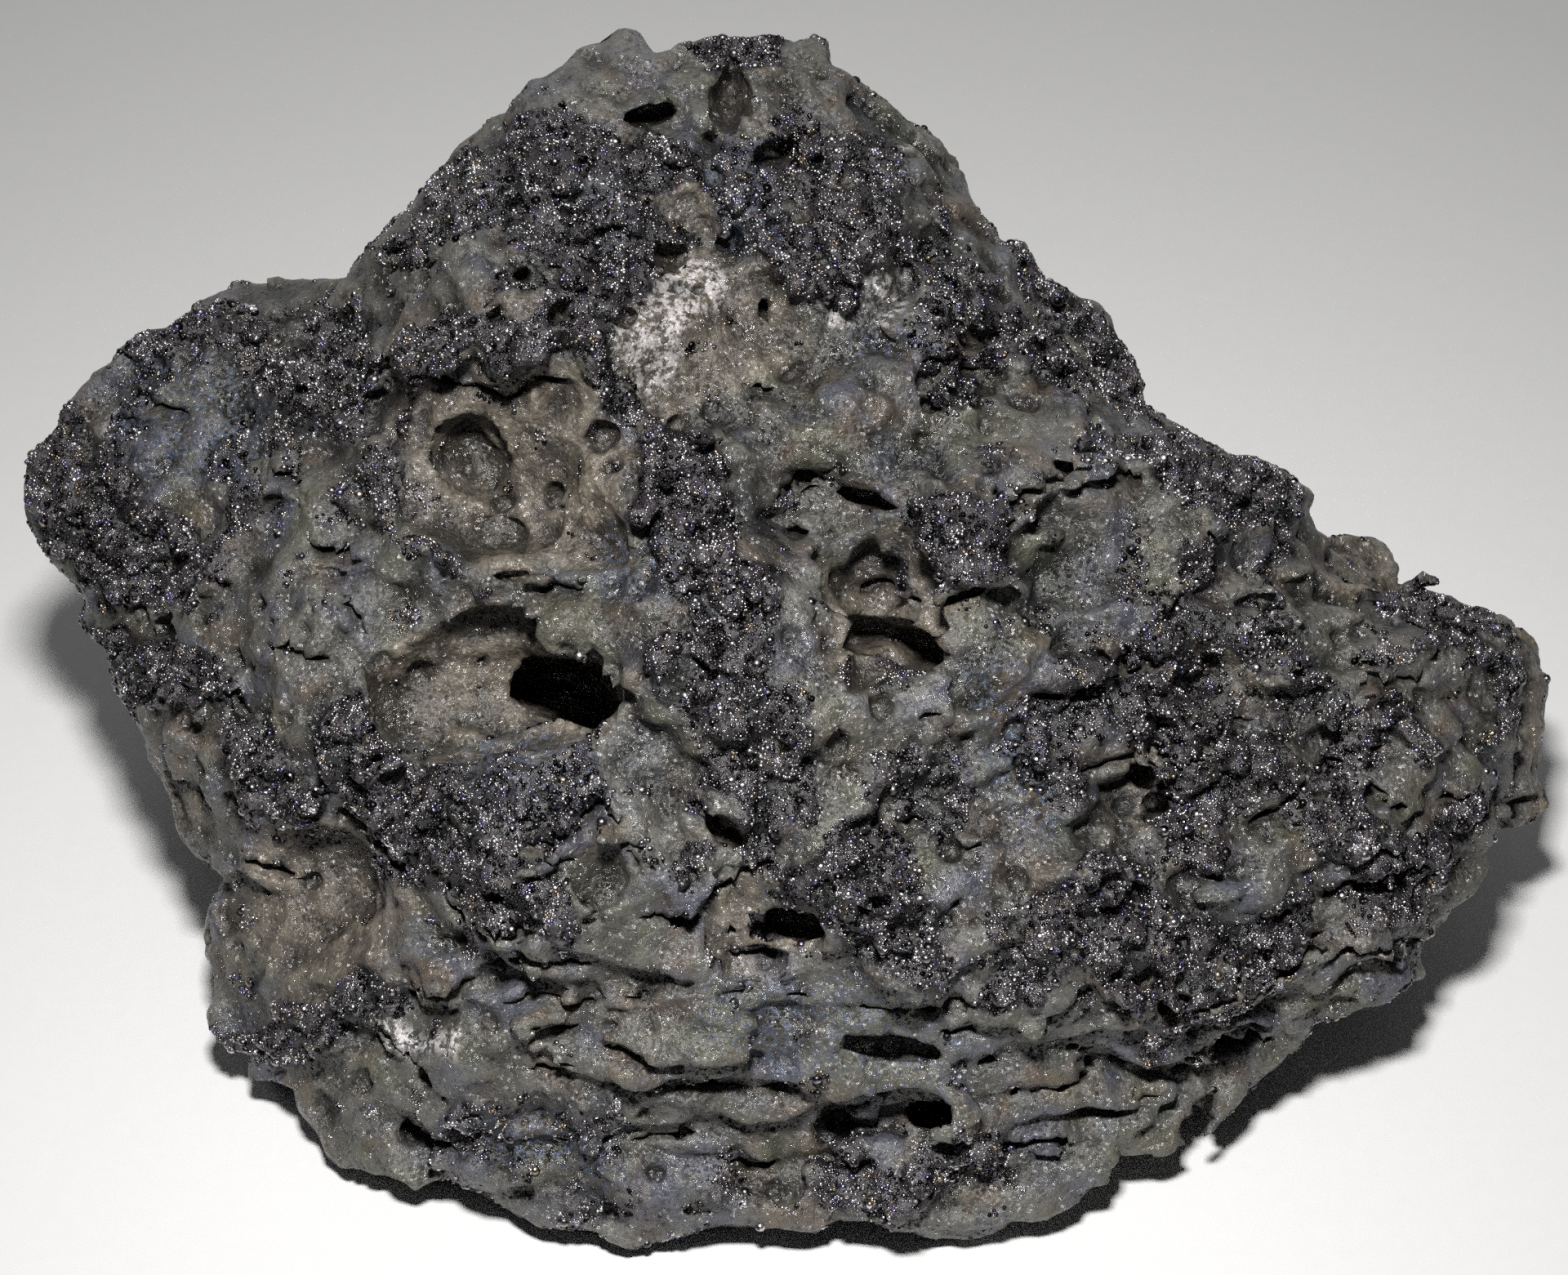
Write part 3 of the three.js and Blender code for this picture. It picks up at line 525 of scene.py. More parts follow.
def solid_field(node):
    """Signed distance from a frame node over the block, negative inside."""
    mesh = node.data
    mesh.calc_loop_triangles()
    corners = np.empty(len(mesh.vertices) * 3, np.float32)
    mesh.vertices.foreach_get("co", corners)
    triangles = np.empty(len(mesh.loop_triangles) * 3, np.int32)
    mesh.loop_triangles.foreach_get("vertices", triangles)
    grid = vdb.FloatGrid.createLevelSetFromPolygons(
        corners.reshape(-1, 3) / METRES,
        triangles=triangles.reshape(-1, 3).astype(np.uint32),
        transform=vdb.createLinearTransform(voxelSize=CELL),
        halfWidth=HALF_BAND,
    )
    field = np.empty(CELLS, np.float32)
    grid.copyToArray(field, ijk=tuple(int(i) for i in LOW_CELL))
    return field


BLUR_REACH = 3  # widths of the blur that still count


def softened(field, sigma):
    """The field blurred by so many millimetres."""
    reach = int(BLUR_REACH * sigma / CELL)
    weights = np.exp(-0.5 * (np.arange(-reach, reach + 1) * CELL / sigma) ** 2)
    weights = (weights / weights.sum()).astype(np.float32)
    for axis, count in enumerate(CELLS):
        padded = np.pad(field, [(reach, reach) if k == axis else (0, 0) for k in range(3)], mode="edge")
        total = np.zeros_like(field)
        for start, weight in enumerate(weights):
            part = [slice(start, start + count) if k == axis else slice(None) for k in range(3)]
            total += weight * padded[tuple(part)]
        field = total
    return field


def sample(field, points):
    """The field's value at points, between its cells."""
    where = (points - LOW) / CELL
    where = np.clip(where, 0, np.array(CELLS) - JUST_INSIDE)
    first = where.astype(np.int32)
    t = (where - first).astype(np.float32)
    flat = field.ravel()
    start = (first[:, 0] * CELLS[1] + first[:, 1]) * CELLS[2] + first[:, 2]
    total = np.zeros(len(points), np.float32)
    for i in (0, 1):
        wx = t[:, 0] if i else 1 - t[:, 0]
        for j in (0, 1):
            wxy = wx * (t[:, 1] if j else 1 - t[:, 1])
            for k in (0, 1):
                step = (i * CELLS[1] + j) * CELLS[2] + k
                total += wxy * (t[:, 2] if k else 1 - t[:, 2]) * flat[start + step]
    return total


def gradient_at(field, cells):
    """Slope of the field at cells, as unit vectors."""
    flat = field.ravel()
    steps = (CELLS[1] * CELLS[2], CELLS[2], 1)
    slope = np.stack([flat[cells + step] - flat[cells - step] for step in steps], axis=1)
    return slope / (np.linalg.norm(slope, axis=1, keepdims=True) + 1e-9)


def points_of(cells):
    """Places of cells that are given by number."""
    i, j, k = np.unravel_index(cells, CELLS)
    return (np.stack([i, j, k], axis=1) * CELL + LOW).astype(np.float32)


def slices_round(points, margin):
    """The part of the block round some points, with its cells' places."""
    low = np.floor((np.min(points, axis=0) - margin - LOW) / CELL).astype(int)
    high = np.ceil((np.max(points, axis=0) + margin - LOW) / CELL).astype(int) + 1
    part = tuple(slice(max(a, 0), max(min(b, count), 0)) for a, b, count in zip(low, high, CELLS))
    x, y, z = (centres(axis)[part[axis]] for axis in range(3))
    return part, x[:, None, None], y[None, :, None], z[None, None, :]


RAY_DEPTHS = np.arange(34, -40, -0.2)  # from in front of the rock to behind it


def surface_depths(field, pixels):
    """Depth at which each pixel first meets the rock."""
    pixels = np.asarray(pixels, float)
    shape = (len(pixels), len(RAY_DEPTHS))
    rays = place(np.broadcast_to(pixels[:, None, :], (*shape, 2)), np.broadcast_to(RAY_DEPTHS, shape))
    values = sample(field, rays.reshape(-1, 3)).reshape(shape)
    return RAY_DEPTHS[np.argmax(values < 0, axis=1)]


# The relief

WANDER_PIXELS = 15  # how far the edge of a zone strays from its line
SEED = 41
CRUST_MAP = zone_map(CRUSTS)
HALF_CRUST_MAP = zone_map(HALF_CRUSTS)
TAN_MAP = zone_map(TANS)
SILVER_MAP = zone_map(SILVERS)
BLUE_MAP = zone_map(BLUES)
STREAK_MAP = zone_map(STREAKS, BROAD_REACH)
BARE_MAP = zone_map(BARES)

# Every random field has its own seed, which is the rock's with this added
FINE_SEEDS = (0, 1)
BROAD_SEED = 2
MIDDLING_SEED = 3
WRINKLE_SEEDS = (7, 8)
ROPE_SEED = 9
BUBBLE_SEED = 11
GRIT_SEEDS = (12, 13)
BLOB_SEEDS = (14, 15)
THREAD_SEED = 17
BEAD_SEED = 21
RAGGED_SEED = 22
FINE = [noise_block((1.7, 1.7, 1.7), SEED + seed) for seed in FINE_SEEDS]
BROAD = noise_block((8, 8, 8), SEED + BROAD_SEED)
MIDDLING = noise_block((2.6, 2.6, 2.6), SEED + MIDDLING_SEED)


def read_block(field, points, cells):
    """A field at points, or at cells where they are given, which is quicker."""
    return sample(field, points) if cells is None else field.ravel()[cells]


HALF_SHARE = 0.42  # of a broken-up crust that is crust
HALF_MOST = 0.9
FACING_RANGE = (0.05, 0.35)  # from places that the view misses to places that it sees
HIDDEN_RANGE = (-0.05, 0.25)  # of the noise, from skin to crust where the view does not reach
# Each range is in millimetres from the edge of a zone, from outside it to inside it
CRUST_RANGE = (-0.8, 0.8)
HALF_RANGE = (-1.5, 1.5)
TAN_RANGE = (-0.4, 0.5)
SILVER_RANGE = (-0.3, 0.3)
BLUE_RANGE = (-1.5, 0.5)
STREAK_RANGE = (-3, 2)


def zones(points, facing, cells=None):
    """How far each place is of each kind and faces the view, from 0 to 1, and the pixel that shows it."""
    x, y, depth = project(points[:, 0], points[:, 1], points[:, 2])
    middling = read_block(MIDDLING, points, cells)
    broad = read_block(BROAD, points, cells)
    fine = read_block(FINE[0], points, cells)
    x = x + WANDER_PIXELS * (fine + 1.3 * middling)
    y = y + WANDER_PIXELS * (read_block(FINE[1], points, cells) + 1.6 * broad)
    seen = smoothstep(*FACING_RANGE, facing)
    inside = np.minimum(read_map(CRUST_MAP, x, y), -read_map(BARE_MAP, x, y))
    face = smoothstep(*CRUST_RANGE, inside + 1.3 * middling + 0.7 * fine)
    half = smoothstep(*HALF_RANGE, read_map(HALF_CRUST_MAP, x, y))
    half = half * np.clip(HALF_SHARE + 0.9 * middling + 0.4 * fine, 0, HALF_MOST)
    hidden = smoothstep(*HIDDEN_RANGE, broad + 0.45 * middling + 0.2 * fine)
    return {
        "crust": hidden + (np.maximum(face, half) - hidden) * seen,
        "tan": smoothstep(*TAN_RANGE, read_map(TAN_MAP, x, y) + 0.2 * middling) * seen,
        "silver": smoothstep(*SILVER_RANGE, read_map(SILVER_MAP, x, y)) * seen,
        "blue": smoothstep(*BLUE_RANGE, read_map(BLUE_MAP, x, y)) * seen,
        "streak": smoothstep(*STREAK_RANGE, read_map(STREAK_MAP, x, y)) * seen,
        "seen": seen,
        "x": x,
        "y": y,
    }


# Ledges


def line_sides(x, y, line):
    """Distance above a line in pixels, less than nothing below it, and the share of its length passed."""
    line = np.array(line, float)
    steps = np.diff(line, axis=0)
    lengths = np.hypot(*steps.T)
    starts = np.concatenate([[0], np.cumsum(lengths)])
    side = -1 if steps[:, 0].sum() < 0 else 1
    nearest = np.full(np.broadcast(x, y).shape, np.inf)
    above = np.zeros(nearest.shape)
    share = np.zeros(nearest.shape)
    for (ax, ay), (dx, dy), length, start in zip(line, steps, lengths, starts):
        along = np.clip(((x - ax) * dx + (y - ay) * dy) / length**2, 0, 1)
        away = np.hypot(x - ax - along * dx, y - ay - along * dy)
        sign = np.where((x - ax) * dy - (y - ay) * dx > 0, side, -side)
        closer = away < nearest
        nearest = np.where(closer, away, nearest)
        above = np.where(closer, sign * away, above)
        share = np.where(closer, (start + along * length) / starts[-1], share)
    return above, share


def taper(share):
    """Falls to nothing at both ends of a line."""
    return np.sqrt(np.clip(4 * share * (1 - share), 0, 1))


LEDGE_HEIGHTS = (0.28, 1.1)  # of the shortest and of the highest ledges
LEDGE_GROWTH = 0.09  # height for each millimetre of length
LEDGE_REACH = 90  # pixels round a ledge that it lifts or lowers
LEDGE_FADES = (2.2, 1.6)  # how soon its lift fades above it and its drop below it, in millimetres
LEDGE_DIP = 0.8  # drop below a ledge, as a share of its lift
LIP_REACH = 60  # pixels round a hole's rim that its lip lifts
LIP_HEIGHT = 0.22
LIP_WIDTH = 0.6


def drop_of(line):
    """How high a ledge of this length is."""
    length = np.hypot(*np.diff(np.array(line, float), axis=0).T).sum() * MM_PER_PIXEL
    return min(LEDGE_HEIGHTS[0] + LEDGE_GROWTH * length, LEDGE_HEIGHTS[1])


def ledge_map():
    """Lift of the face by its ledges, and by the lips of its holes."""
    values = np.zeros((len(MAP_Y), len(MAP_X)), np.float32)
    for line in LEDGES:
        part, x, y = window(line, LEDGE_REACH)
        above, share = line_sides(x, y, line)
        above *= MM_PER_PIXEL
        upper, lower = LEDGE_FADES
        step = np.where(above > 0, np.exp(-above / upper), -LEDGE_DIP * np.exp(above / lower))
        values[part] += drop_of(line) * taper(share) * step
    for rim in [pocket["rim"] for pocket in POCKETS] + [round_rim(*hole[:5]) for hole in ROUND_POCKETS]:
        part, x, y = window(rim, LIP_REACH)
        values[part] += LIP_HEIGHT * np.exp(-((inside_by(x, y, rim) * MM_PER_PIXEL / LIP_WIDTH) ** 2))
    return values


def round_rim(x, y, half_width, half_height, turn):
    """The rim of a round hole, as sixteen pixels."""
    turn = math.radians(turn)
    rim = []
    for angle in np.arange(0, 2 * math.pi, math.pi / 8):
        across = half_width * math.cos(angle)
        up = half_height * math.sin(angle)
        right = across * math.cos(turn) - up * math.sin(turn)
        down = across * math.sin(turn) + up * math.cos(turn)
        rim.append((x + right, y - down))
    return rim


LEDGE_MAP = ledge_map()

# Lumps of the crust
BLOB_SIZE = 1.7
BARE_SHARE = 0.18  # of the blobs that carry no beads
DOME_RANGE = (0.05, 0.85)  # distance from a blob's middle, in its sizes, from its top to its foot
SMALL_DOME_RANGE = (0, 0.8)
BARE_RANGE = (0.45, 0.65)  # how far up a blob its bare top begins and is full
DOME_HEIGHT = 1.6
DOME_LEAST = 0.6  # share of that height that the lowest blobs have
DOME_CHANCE = 0.6
SMALL_DOME_HEIGHT = 0.5
SMALL_DOME_SHARE = 0.35  # what a small blob adds to how far up a place is


def blobs(points):
    """Lift of the crust's round blobs, how bare each place is of beads, and how far up a blob it is."""
    away, chance = nearest_cell(points, BLOB_SIZE, SEED + BLOB_SEEDS[0])
    dome = 1 - smoothstep(*DOME_RANGE, away)
    bare = (chance < BARE_SHARE) * smoothstep(*BARE_RANGE, dome)
    away_small = nearest_cell(points, BLOB_SIZE / 2, SEED + BLOB_SEEDS[1])[0]
    small = 1 - smoothstep(*SMALL_DOME_RANGE, away_small)
    lift = DOME_HEIGHT * (dome - 0.5) * (DOME_LEAST + DOME_CHANCE * chance)
    lift = lift + SMALL_DOME_HEIGHT * small * (1 - bare)
    return lift, bare, np.clip(dome + SMALL_DOME_SHARE * small, 0, 1)


PLATE_RANGE = (-0.14, 0.14)  # of the noise, from the foot of a lump to its flat top


def plates(size, seed):
    """Flat-topped lumps with crisp edges, from -0.5 to 0.5."""
    return smoothstep(*PLATE_RANGE, noise_block((size, size, size), seed)) - 0.5


# The relief of the rock, in millimetres
LIFT_BAND = 3.4  # from the solid's surface, on both sides
BLOB_BAND = 2.2
# Each kind of plate: size, height, seed and whether it is as high on the face as elsewhere
PLATES = [(11, 0.9, 4, False), (6.5, 0.6, 5, False), (3.6, 0.5, 6, True), (2.1, 0.3, 16, True)]
BROAD_HEIGHT = 0.5
WRINKLE_SIZES = (3.4, 1.4)
WRINKLE_HEIGHTS = (0.6, 0.5)
CRUST_HEIGHT = 0.5
ROPE_SIZE = (6, 1.3, 1.3)
THREAD_SIZE = (3.5, 0.8, 0.8)
ROPE_RISE = 0.3  # slope of the folds of the right wing
ROPE_TURN = (1280, 1130)  # rows of pixels between which the folds go from level to rising
CALM_FACE = 0.35  # how much flatter the large plates are on the face
CALM_TAN = 0.75
CALM_FOLDS = 0.35
OVERHANG = 0.5  # how far a lump is pushed down over what lies below it, for each millimetre of its lift
SETTLE = 0.35  # makes up for the mean lift
SWELL = 0.6  # makes up for what blurring takes from the rim
SMOOTHING = 0.7  # takes the facets off the solid
BROAD_BLUR = 1.2  # leaves only the way a broad stretch of the surface faces
SOME_FOLDS = 0.02  # least share of folds and of crust that is worked out
SOME_CRUST = 0.05


def lifted(field):
    """The field with the rock's lumps, plates, crusts and ledges, each overhanging what lies below it."""
    near = np.zeros(CELLS, bool)
    near[1:-1, 1:-1, 1:-1] = np.abs(field[1:-1, 1:-1, 1:-1]) < LIFT_BAND
    cells = np.flatnonzero(near)
    points = points_of(cells)
    facing = gradient_at(softened(field, BROAD_BLUR), cells) @ TO_EYE
    zone = zones(points, facing, cells)
    hidden = 1 - CALM_FACE * zone["seen"]
    rugged = 1 - CALM_TAN * zone["tan"] * (1 - zone["crust"])
    rugged *= 1 - CALM_FOLDS * zone["streak"]
    lift = 0
    for size, height, seed, everywhere in PLATES:
        share = 1 if everywhere else hidden
        lift = lift + height * plates(size, SEED + seed).ravel()[cells] * share * rugged
    lift += BROAD_HEIGHT * BROAD.ravel()[cells]
    for size, height, seed in zip(WRINKLE_SIZES, WRINKLE_HEIGHTS, WRINKLE_SEEDS):
        lift += height * np.abs(noise_block((size, size, size), SEED + seed)).ravel()[cells] * rugged
    lift += CRUST_HEIGHT * zone["crust"]
    folded = np.flatnonzero(zone["streak"] > SOME_FOLDS)
    rise = ROPE_RISE * smoothstep(*ROPE_TURN, zone["y"][folded]) * points[folded, 0]
    turned = points[folded] - rise[:, None] * UP
    ropes = np.abs(sample(noise_block(ROPE_SIZE, SEED + ROPE_SEED), turned))
    threads = np.abs(sample(noise_block(THREAD_SIZE, SEED + THREAD_SEED), turned))
    lift[folded] += zone["streak"][folded] * (ropes + 0.5 * threads - 0.5)
    lift += zone["seen"] * read_map(LEDGE_MAP, zone["x"], zone["y"])
    distance = field.ravel()[cells]
    beaded = np.flatnonzero((zone["crust"] > SOME_CRUST) & (np.abs(distance) < BLOB_BAND))
    lift[beaded] += zone["crust"][beaded] * blobs(points[beaded])[0]
    block = np.zeros(CELLS, np.float32)
    block.ravel()[cells] = lift - SETTLE
    out = field.copy()
    above = (points + UP * (OVERHANG * distance[:, None])).astype(np.float32)
    out.ravel()[cells] = distance - sample(block, above)
    return out


RIM_WANDER = 3  # pixels


def within_outline(field):
    """The field cut to the rock's rim as the view sees it, and to the ground."""
    rim = zone_map([OUTLINE], RIM_REACH)
    x, y, z = (centres(axis) for axis in range(3))
    for i, right in enumerate(x):
        px, py, depth = project(right, y[:, None], z[None, :])
        wander = RIM_WANDER * FINE[0][i]
        beyond = -read_map(rim, px + wander, py + 0 * px) * (1 - depth / EYE_DISTANCE)
        field[i] = np.maximum(field[i], beyond)
        field[i] = np.maximum(field[i], -z[None, :])
    return field


# Gas holes

LEAN = 0.05  # how far a hole goes up for each millimetre that it goes in
MOUTH_MARGIN = 9  # pixels outside the rim, where the depth of the surface round it is read
MOUTH_DEPTHS = (-0.7, 1.4)  # how far the surface round a rim counts below and above its middle depth
OPEN_ABOVE = 2.5  # how far in front of its mouth a hole is cut open
FLOOR_MARGIN = 1.5
WALL_MARGIN = 0.8
UNEVEN_WALL = 0.22


def cut_pocket(field, rim, depth, under):
    """Cuts a hole with this rim, whose wall first goes in under the rim and then rounds off to a floor."""
    rim = np.array(rim, float)
    middle = rim.mean(axis=0)
    away = rim - middle
    outer = rim + MOUTH_MARGIN * away / np.linalg.norm(away, axis=1, keepdims=True)
    depths = surface_depths(field, outer)
    depths = np.clip(depths, *(np.median(depths) + np.array(MOUTH_DEPTHS)))
    terms = np.column_stack([np.ones(len(rim)), outer - middle])
    plane = np.linalg.lstsq(terms, depths, rcond=None)[0]
    corners = [(x, y) for x in (rim[:, 0].min(), rim[:, 0].max()) for y in (rim[:, 1].min(), rim[:, 1].max())]
    reach = [plane[0] + OPEN_ABOVE, plane[0] - depth - FLOOR_MARGIN]
    box = np.concatenate([place(corners, np.full(4, d)) for d in reach])
    part, x, y, z = slices_round(box, max(under, 0) + WALL_MARGIN + LEAN * depth)
    px, py, seen_depth = project(x, y, z)
    seen_depth = np.broadcast_to(seen_depth, px.shape)
    below = plane[0] + plane[1] * (px - middle[0]) + plane[2] * (py - middle[1]) - seen_depth
    leaning = py + LEAN * np.maximum(below, 0) / MM_PER_PIXEL
    inside = inside_by(px, leaning, [tuple(p) for p in rim]) * MM_PER_PIXEL
    share = np.clip(below / depth, 0, 1)
    closing = inside.max() * (1 - np.sqrt(1 - share**2))
    wall = inside + UNEVEN_WALL * MIDDLING[part] + 4 * under * share * (1 - share) - closing
    field[part] = np.maximum(field[part], np.minimum(wall, depth - below))


EGG_MARGIN = 1.3
UNEVEN_EGG = 0.15


def cut_egg(field, middle, axes, half):
    """Cuts an egg whose surface is a little uneven."""
    part, x, y, z = slices_round(np.array([middle]), max(half) * EGG_MARGIN)
    offset = (x - middle[0], y - middle[1], z - middle[2])
    reach = 0
    for axis, size in zip(axes, half):
        reach = reach + ((offset[0] * axis[0] + offset[1] * axis[1] + offset[2] * axis[2]) / size) ** 2
    shape = (1 - np.sqrt(reach) + UNEVEN_EGG * FINE[1][part]) * min(half)
    field[part] = np.maximum(field[part], shape.astype(np.float32))


CREASE_DROP = 0.12
SLANT = math.radians(40)  # how steeply the gap behind a ledge goes up
EGG_SPACING = 0.45
EGG_WIDTH = 0.5  # half of it, along the ledge
GAP_HEIGHT = 0.1  # half of it, where the ledge is lowest
GAP_HEIGHT_GROWTH = 0.2
GAP_LENGTH = 0.8
GAP_LENGTH_GROWTH = 2.3
GAP_START = 0.1  # in front of the surface
GAP_MIDDLE = 0.6  # of its half length, in from there


def cut_ledge(field, line, drop):
    """Undercuts a ledge with a row of thin eggs that go in and up behind it."""
    line = np.array(line, float)
    steps = np.diff(line, axis=0)
    if steps[:, 0].sum() < 0:
        line, steps = line[::-1], -steps[::-1]
    lengths = np.hypot(*steps.T) * MM_PER_PIXEL
    starts = np.concatenate([[0], np.cumsum(lengths)])
    count = max(3, int(starts[-1] / EGG_SPACING))
    shares = (np.arange(count) + 0.5) / count
    wheres = shares * starts[-1]
    pixels = np.column_stack([np.interp(wheres, starts, line[:, k]) for k in (0, 1)])
    depths = surface_depths(field, pixels)
    for pixel, depth, where, share in zip(pixels, depths, wheres, shares):
        dx, dy = steps[min(np.searchsorted(starts, where) - 1, len(steps) - 1)]
        along = (dx * RIGHT - dy * UP) / math.hypot(dx, dy)
        above = np.cross(TO_EYE, along)
        inwards = -TO_EYE * math.cos(SLANT) + above * math.sin(SLANT)
        across = np.cross(inwards, along)
        size = float(taper(share))
        length = GAP_LENGTH + GAP_LENGTH_GROWTH * drop * size
        half = (EGG_WIDTH, GAP_HEIGHT + GAP_HEIGHT_GROWTH * drop * size, length)
        middle = place([pixel], [depth + GAP_START])[0] + inwards * length * GAP_MIDDLE
        cut_egg(field, middle, (along, across, inwards), half)


BUBBLES = 3600
BUBBLE_BAND = 0.2  # from the surface, on both sides
BUBBLE_SIZE = 0.26  # half width of the smallest
BUBBLE_GROWTH = 0.7
BUBBLE_RARITY = 7  # power of a chance from 0 to 1 that makes the large ones rare
BUBBLE_SHAPES = ((1, 0.8, 0.6), (1.4, 1, 1))


def cut_bubbles(field):
    """Small gas holes all over, most of them the smallest."""
    random = np.random.default_rng(SEED + BUBBLE_SEED)
    cells = np.flatnonzero(np.abs(field).ravel() < BUBBLE_BAND)
    middles = points_of(random.choice(cells, BUBBLES, replace=False))
    for middle in middles:
        size = BUBBLE_SIZE + BUBBLE_GROWTH * random.random() ** BUBBLE_RARITY
        turn = random.normal(size=(3, 3))
        axes = np.linalg.qr(turn)[0]
        cut_egg(field, middle, axes, size * random.uniform(*BUBBLE_SHAPES))


def rock_fields():
    """The rock before and after its gas holes are cut."""
    solid = solid_field(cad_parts["scoria_rock"])
    whole = lifted(softened(solid, SMOOTHING) - SWELL)
    whole = within_outline(whole)
    holed = whole.copy()
    for pocket in POCKETS:
        cut_pocket(holed, pocket["rim"], pocket["depth"], pocket["under"])
    for *oval, depth, under in ROUND_POCKETS:
        cut_pocket(holed, round_rim(*oval), depth, under)
    for line in LEDGES:
        cut_ledge(holed, line, drop_of(line))
    for line in CREASES:
        cut_ledge(holed, line, CREASE_DROP)
    cut_bubbles(holed)
    return whole, holed


# Meshes


def largest_piece(count, quads):
    """Marks the points of the largest piece of a mesh."""
    a = quads.ravel()
    b = np.roll(quads, -1, axis=1).ravel()
    label = np.arange(count)
    while True:
        low = label.copy()
        np.minimum.at(low, a, label[b])
        np.minimum.at(low, b, label[a])
        low = low[low]
        if (low == label).all():
            break
        label = low
    return label == np.bincount(label).argmax()


def mesh_of(name, points, faces):
    """A mesh object from arrays of millimetres and of faces that all have as many corners."""
    mesh = bpy.data.meshes.new(name)
    corners = faces.shape[1]
    mesh.vertices.add(len(points))
    mesh.vertices.foreach_set("co", (points * METRES).astype(np.float32).ravel())
    mesh.loops.add(faces.size)
    mesh.loops.foreach_set("vertex_index", faces.astype(np.int32).ravel())
    mesh.polygons.add(len(faces))
    mesh.polygons.foreach_set("loop_start", np.arange(0, faces.size, corners, dtype=np.int32))
    mesh.polygons.foreach_set("use_smooth", np.ones(len(faces), bool))
    mesh.update(calc_edges=True)
    piece = bpy.data.objects.new(name, mesh)
    bpy.context.scene.collection.objects.link(piece)
    return piece


def read_points(mesh, normals=False):
    """Places of a mesh's vertices in millimetres, or their normals."""
    values = np.empty(len(mesh.vertices) * 3, np.float32)
    if normals:
        mesh.vertex_normals.foreach_get("vector", values)
        return values.reshape(-1, 3)
    mesh.vertices.foreach_get("co", values)
    return values.reshape(-1, 3) / METRES


BACKGROUND = 9.0  # distance from the rock that counts for everything outside the block
ROCK_TRIANGLES = 196000
THINNING = {True: 0.35, False: 1.0}  # how readily the face and the rest of the rock are thinned
GRIT = ((0.9, 0.1), (0.5, 0.07))  # size and height of the finest roughness


def gritty(points, normals):
    """The points with the rock's finest roughness, and none below the ground."""
    rough = 0
    for (size, height), seed in zip(GRIT, GRIT_SEEDS):
        rough = rough + height * noise_at(points, size, SEED + seed)
    points = points + normals * rough[:, None]
    points[:, 2] = np.maximum(points[:, 2], 0)
    return points


def rock_piece(holed):
    """The surface of the field, with fine roughness, thinned to a fixed count of triangles."""
    grid = vdb.FloatGrid()
    grid.background = BACKGROUND
    grid.transform = vdb.createLinearTransform(voxelSize=CELL)
    grid.copyFromArray(holed, ijk=tuple(int(i) for i in LOW_CELL))
    points, _, quads = grid.convertToPolygons(isovalue=0, adaptivity=0)
    kept = largest_piece(len(points), quads)
    number = np.cumsum(kept) - 1
    quads = number[quads[kept[quads[:, 0]]]]
    points = points[kept]
    piece = mesh_of("scoria", points, quads)
    normals = read_points(piece.data, normals=True)
    piece.data.vertices.foreach_set("co", (gritty(points, normals) * METRES).astype(np.float32).ravel())
    facing = normals @ TO_EYE > 0
    group = piece.vertex_groups.new(name="thin")
    for is_front, weight in THINNING.items():
        group.add(np.flatnonzero(facing == is_front).tolist(), weight, "REPLACE")
    thin = piece.modifiers.new("thin", "DECIMATE")
    thin.ratio = ROCK_TRIANGLES / (2 * len(quads))
    thin.vertex_group = "thin"
    thinned = bpy.data.meshes.new_from_object(piece.evaluated_get(bpy.context.evaluated_depsgraph_get()))
    piece.modifiers.clear()
    piece.vertex_groups.clear()
    rough_mesh = piece.data
    piece.data = thinned
    bpy.data.meshes.remove(rough_mesh)
    return piece


def set_values(mesh, name, values):
    mesh.attributes.new(name, "FLOAT", "POINT").data.foreach_set("value", values.astype(np.float32))


def get_values(mesh, name):
    values = np.empty(len(mesh.vertices), np.float32)
    mesh.attributes[name].data.foreach_get("value", values)
    return values


CRUST_SUNK = (0.3, 0.9)  # depths in a hole at which the crust begins to end and has ended
TAN_SUNK = (0.3, 1.6)  # depths at which the tan of a hole's wall begins and is full
# How far a vertex stands out of or sinks into its blurred surroundings, which the lava turns into painted
# shade in the hollows and a painted highlight on the ridges
RIDGE_BLUR = 0.8
RIDGE_HEIGHT = 0.35  # what stands so far out of its blurred surroundings is a full ridge


def mark_zones(mesh, whole, holed):
    """Stores what each vertex of the rock is made of, for the materials and the beads, and how far it stands
    out of its surroundings, which the lava turns into painted shade and painted highlights.
    """
    points = read_points(mesh)
    normals = read_points(mesh, normals=True)
    zone = zones(points, normals @ TO_EYE)
    sunk = -sample(whole, points)
    set_values(mesh, "crust", zone["crust"] * (1 - smoothstep(*CRUST_SUNK, sunk)))
    bare, height = blobs(points)[1:]
    set_values(mesh, "bare", bare)
    set_values(mesh, "height", height)
    for name in ("tan", "silver", "blue", "seen"):
        set_values(mesh, name, zone[name])
    set_values(mesh, "sunk", smoothstep(*TAN_SUNK, sunk))
    set_values(mesh, "painted_shade_and_ridge_light", np.clip(sample(softened(holed, RIDGE_BLUR), points) / RIDGE_HEIGHT, -1, 1))


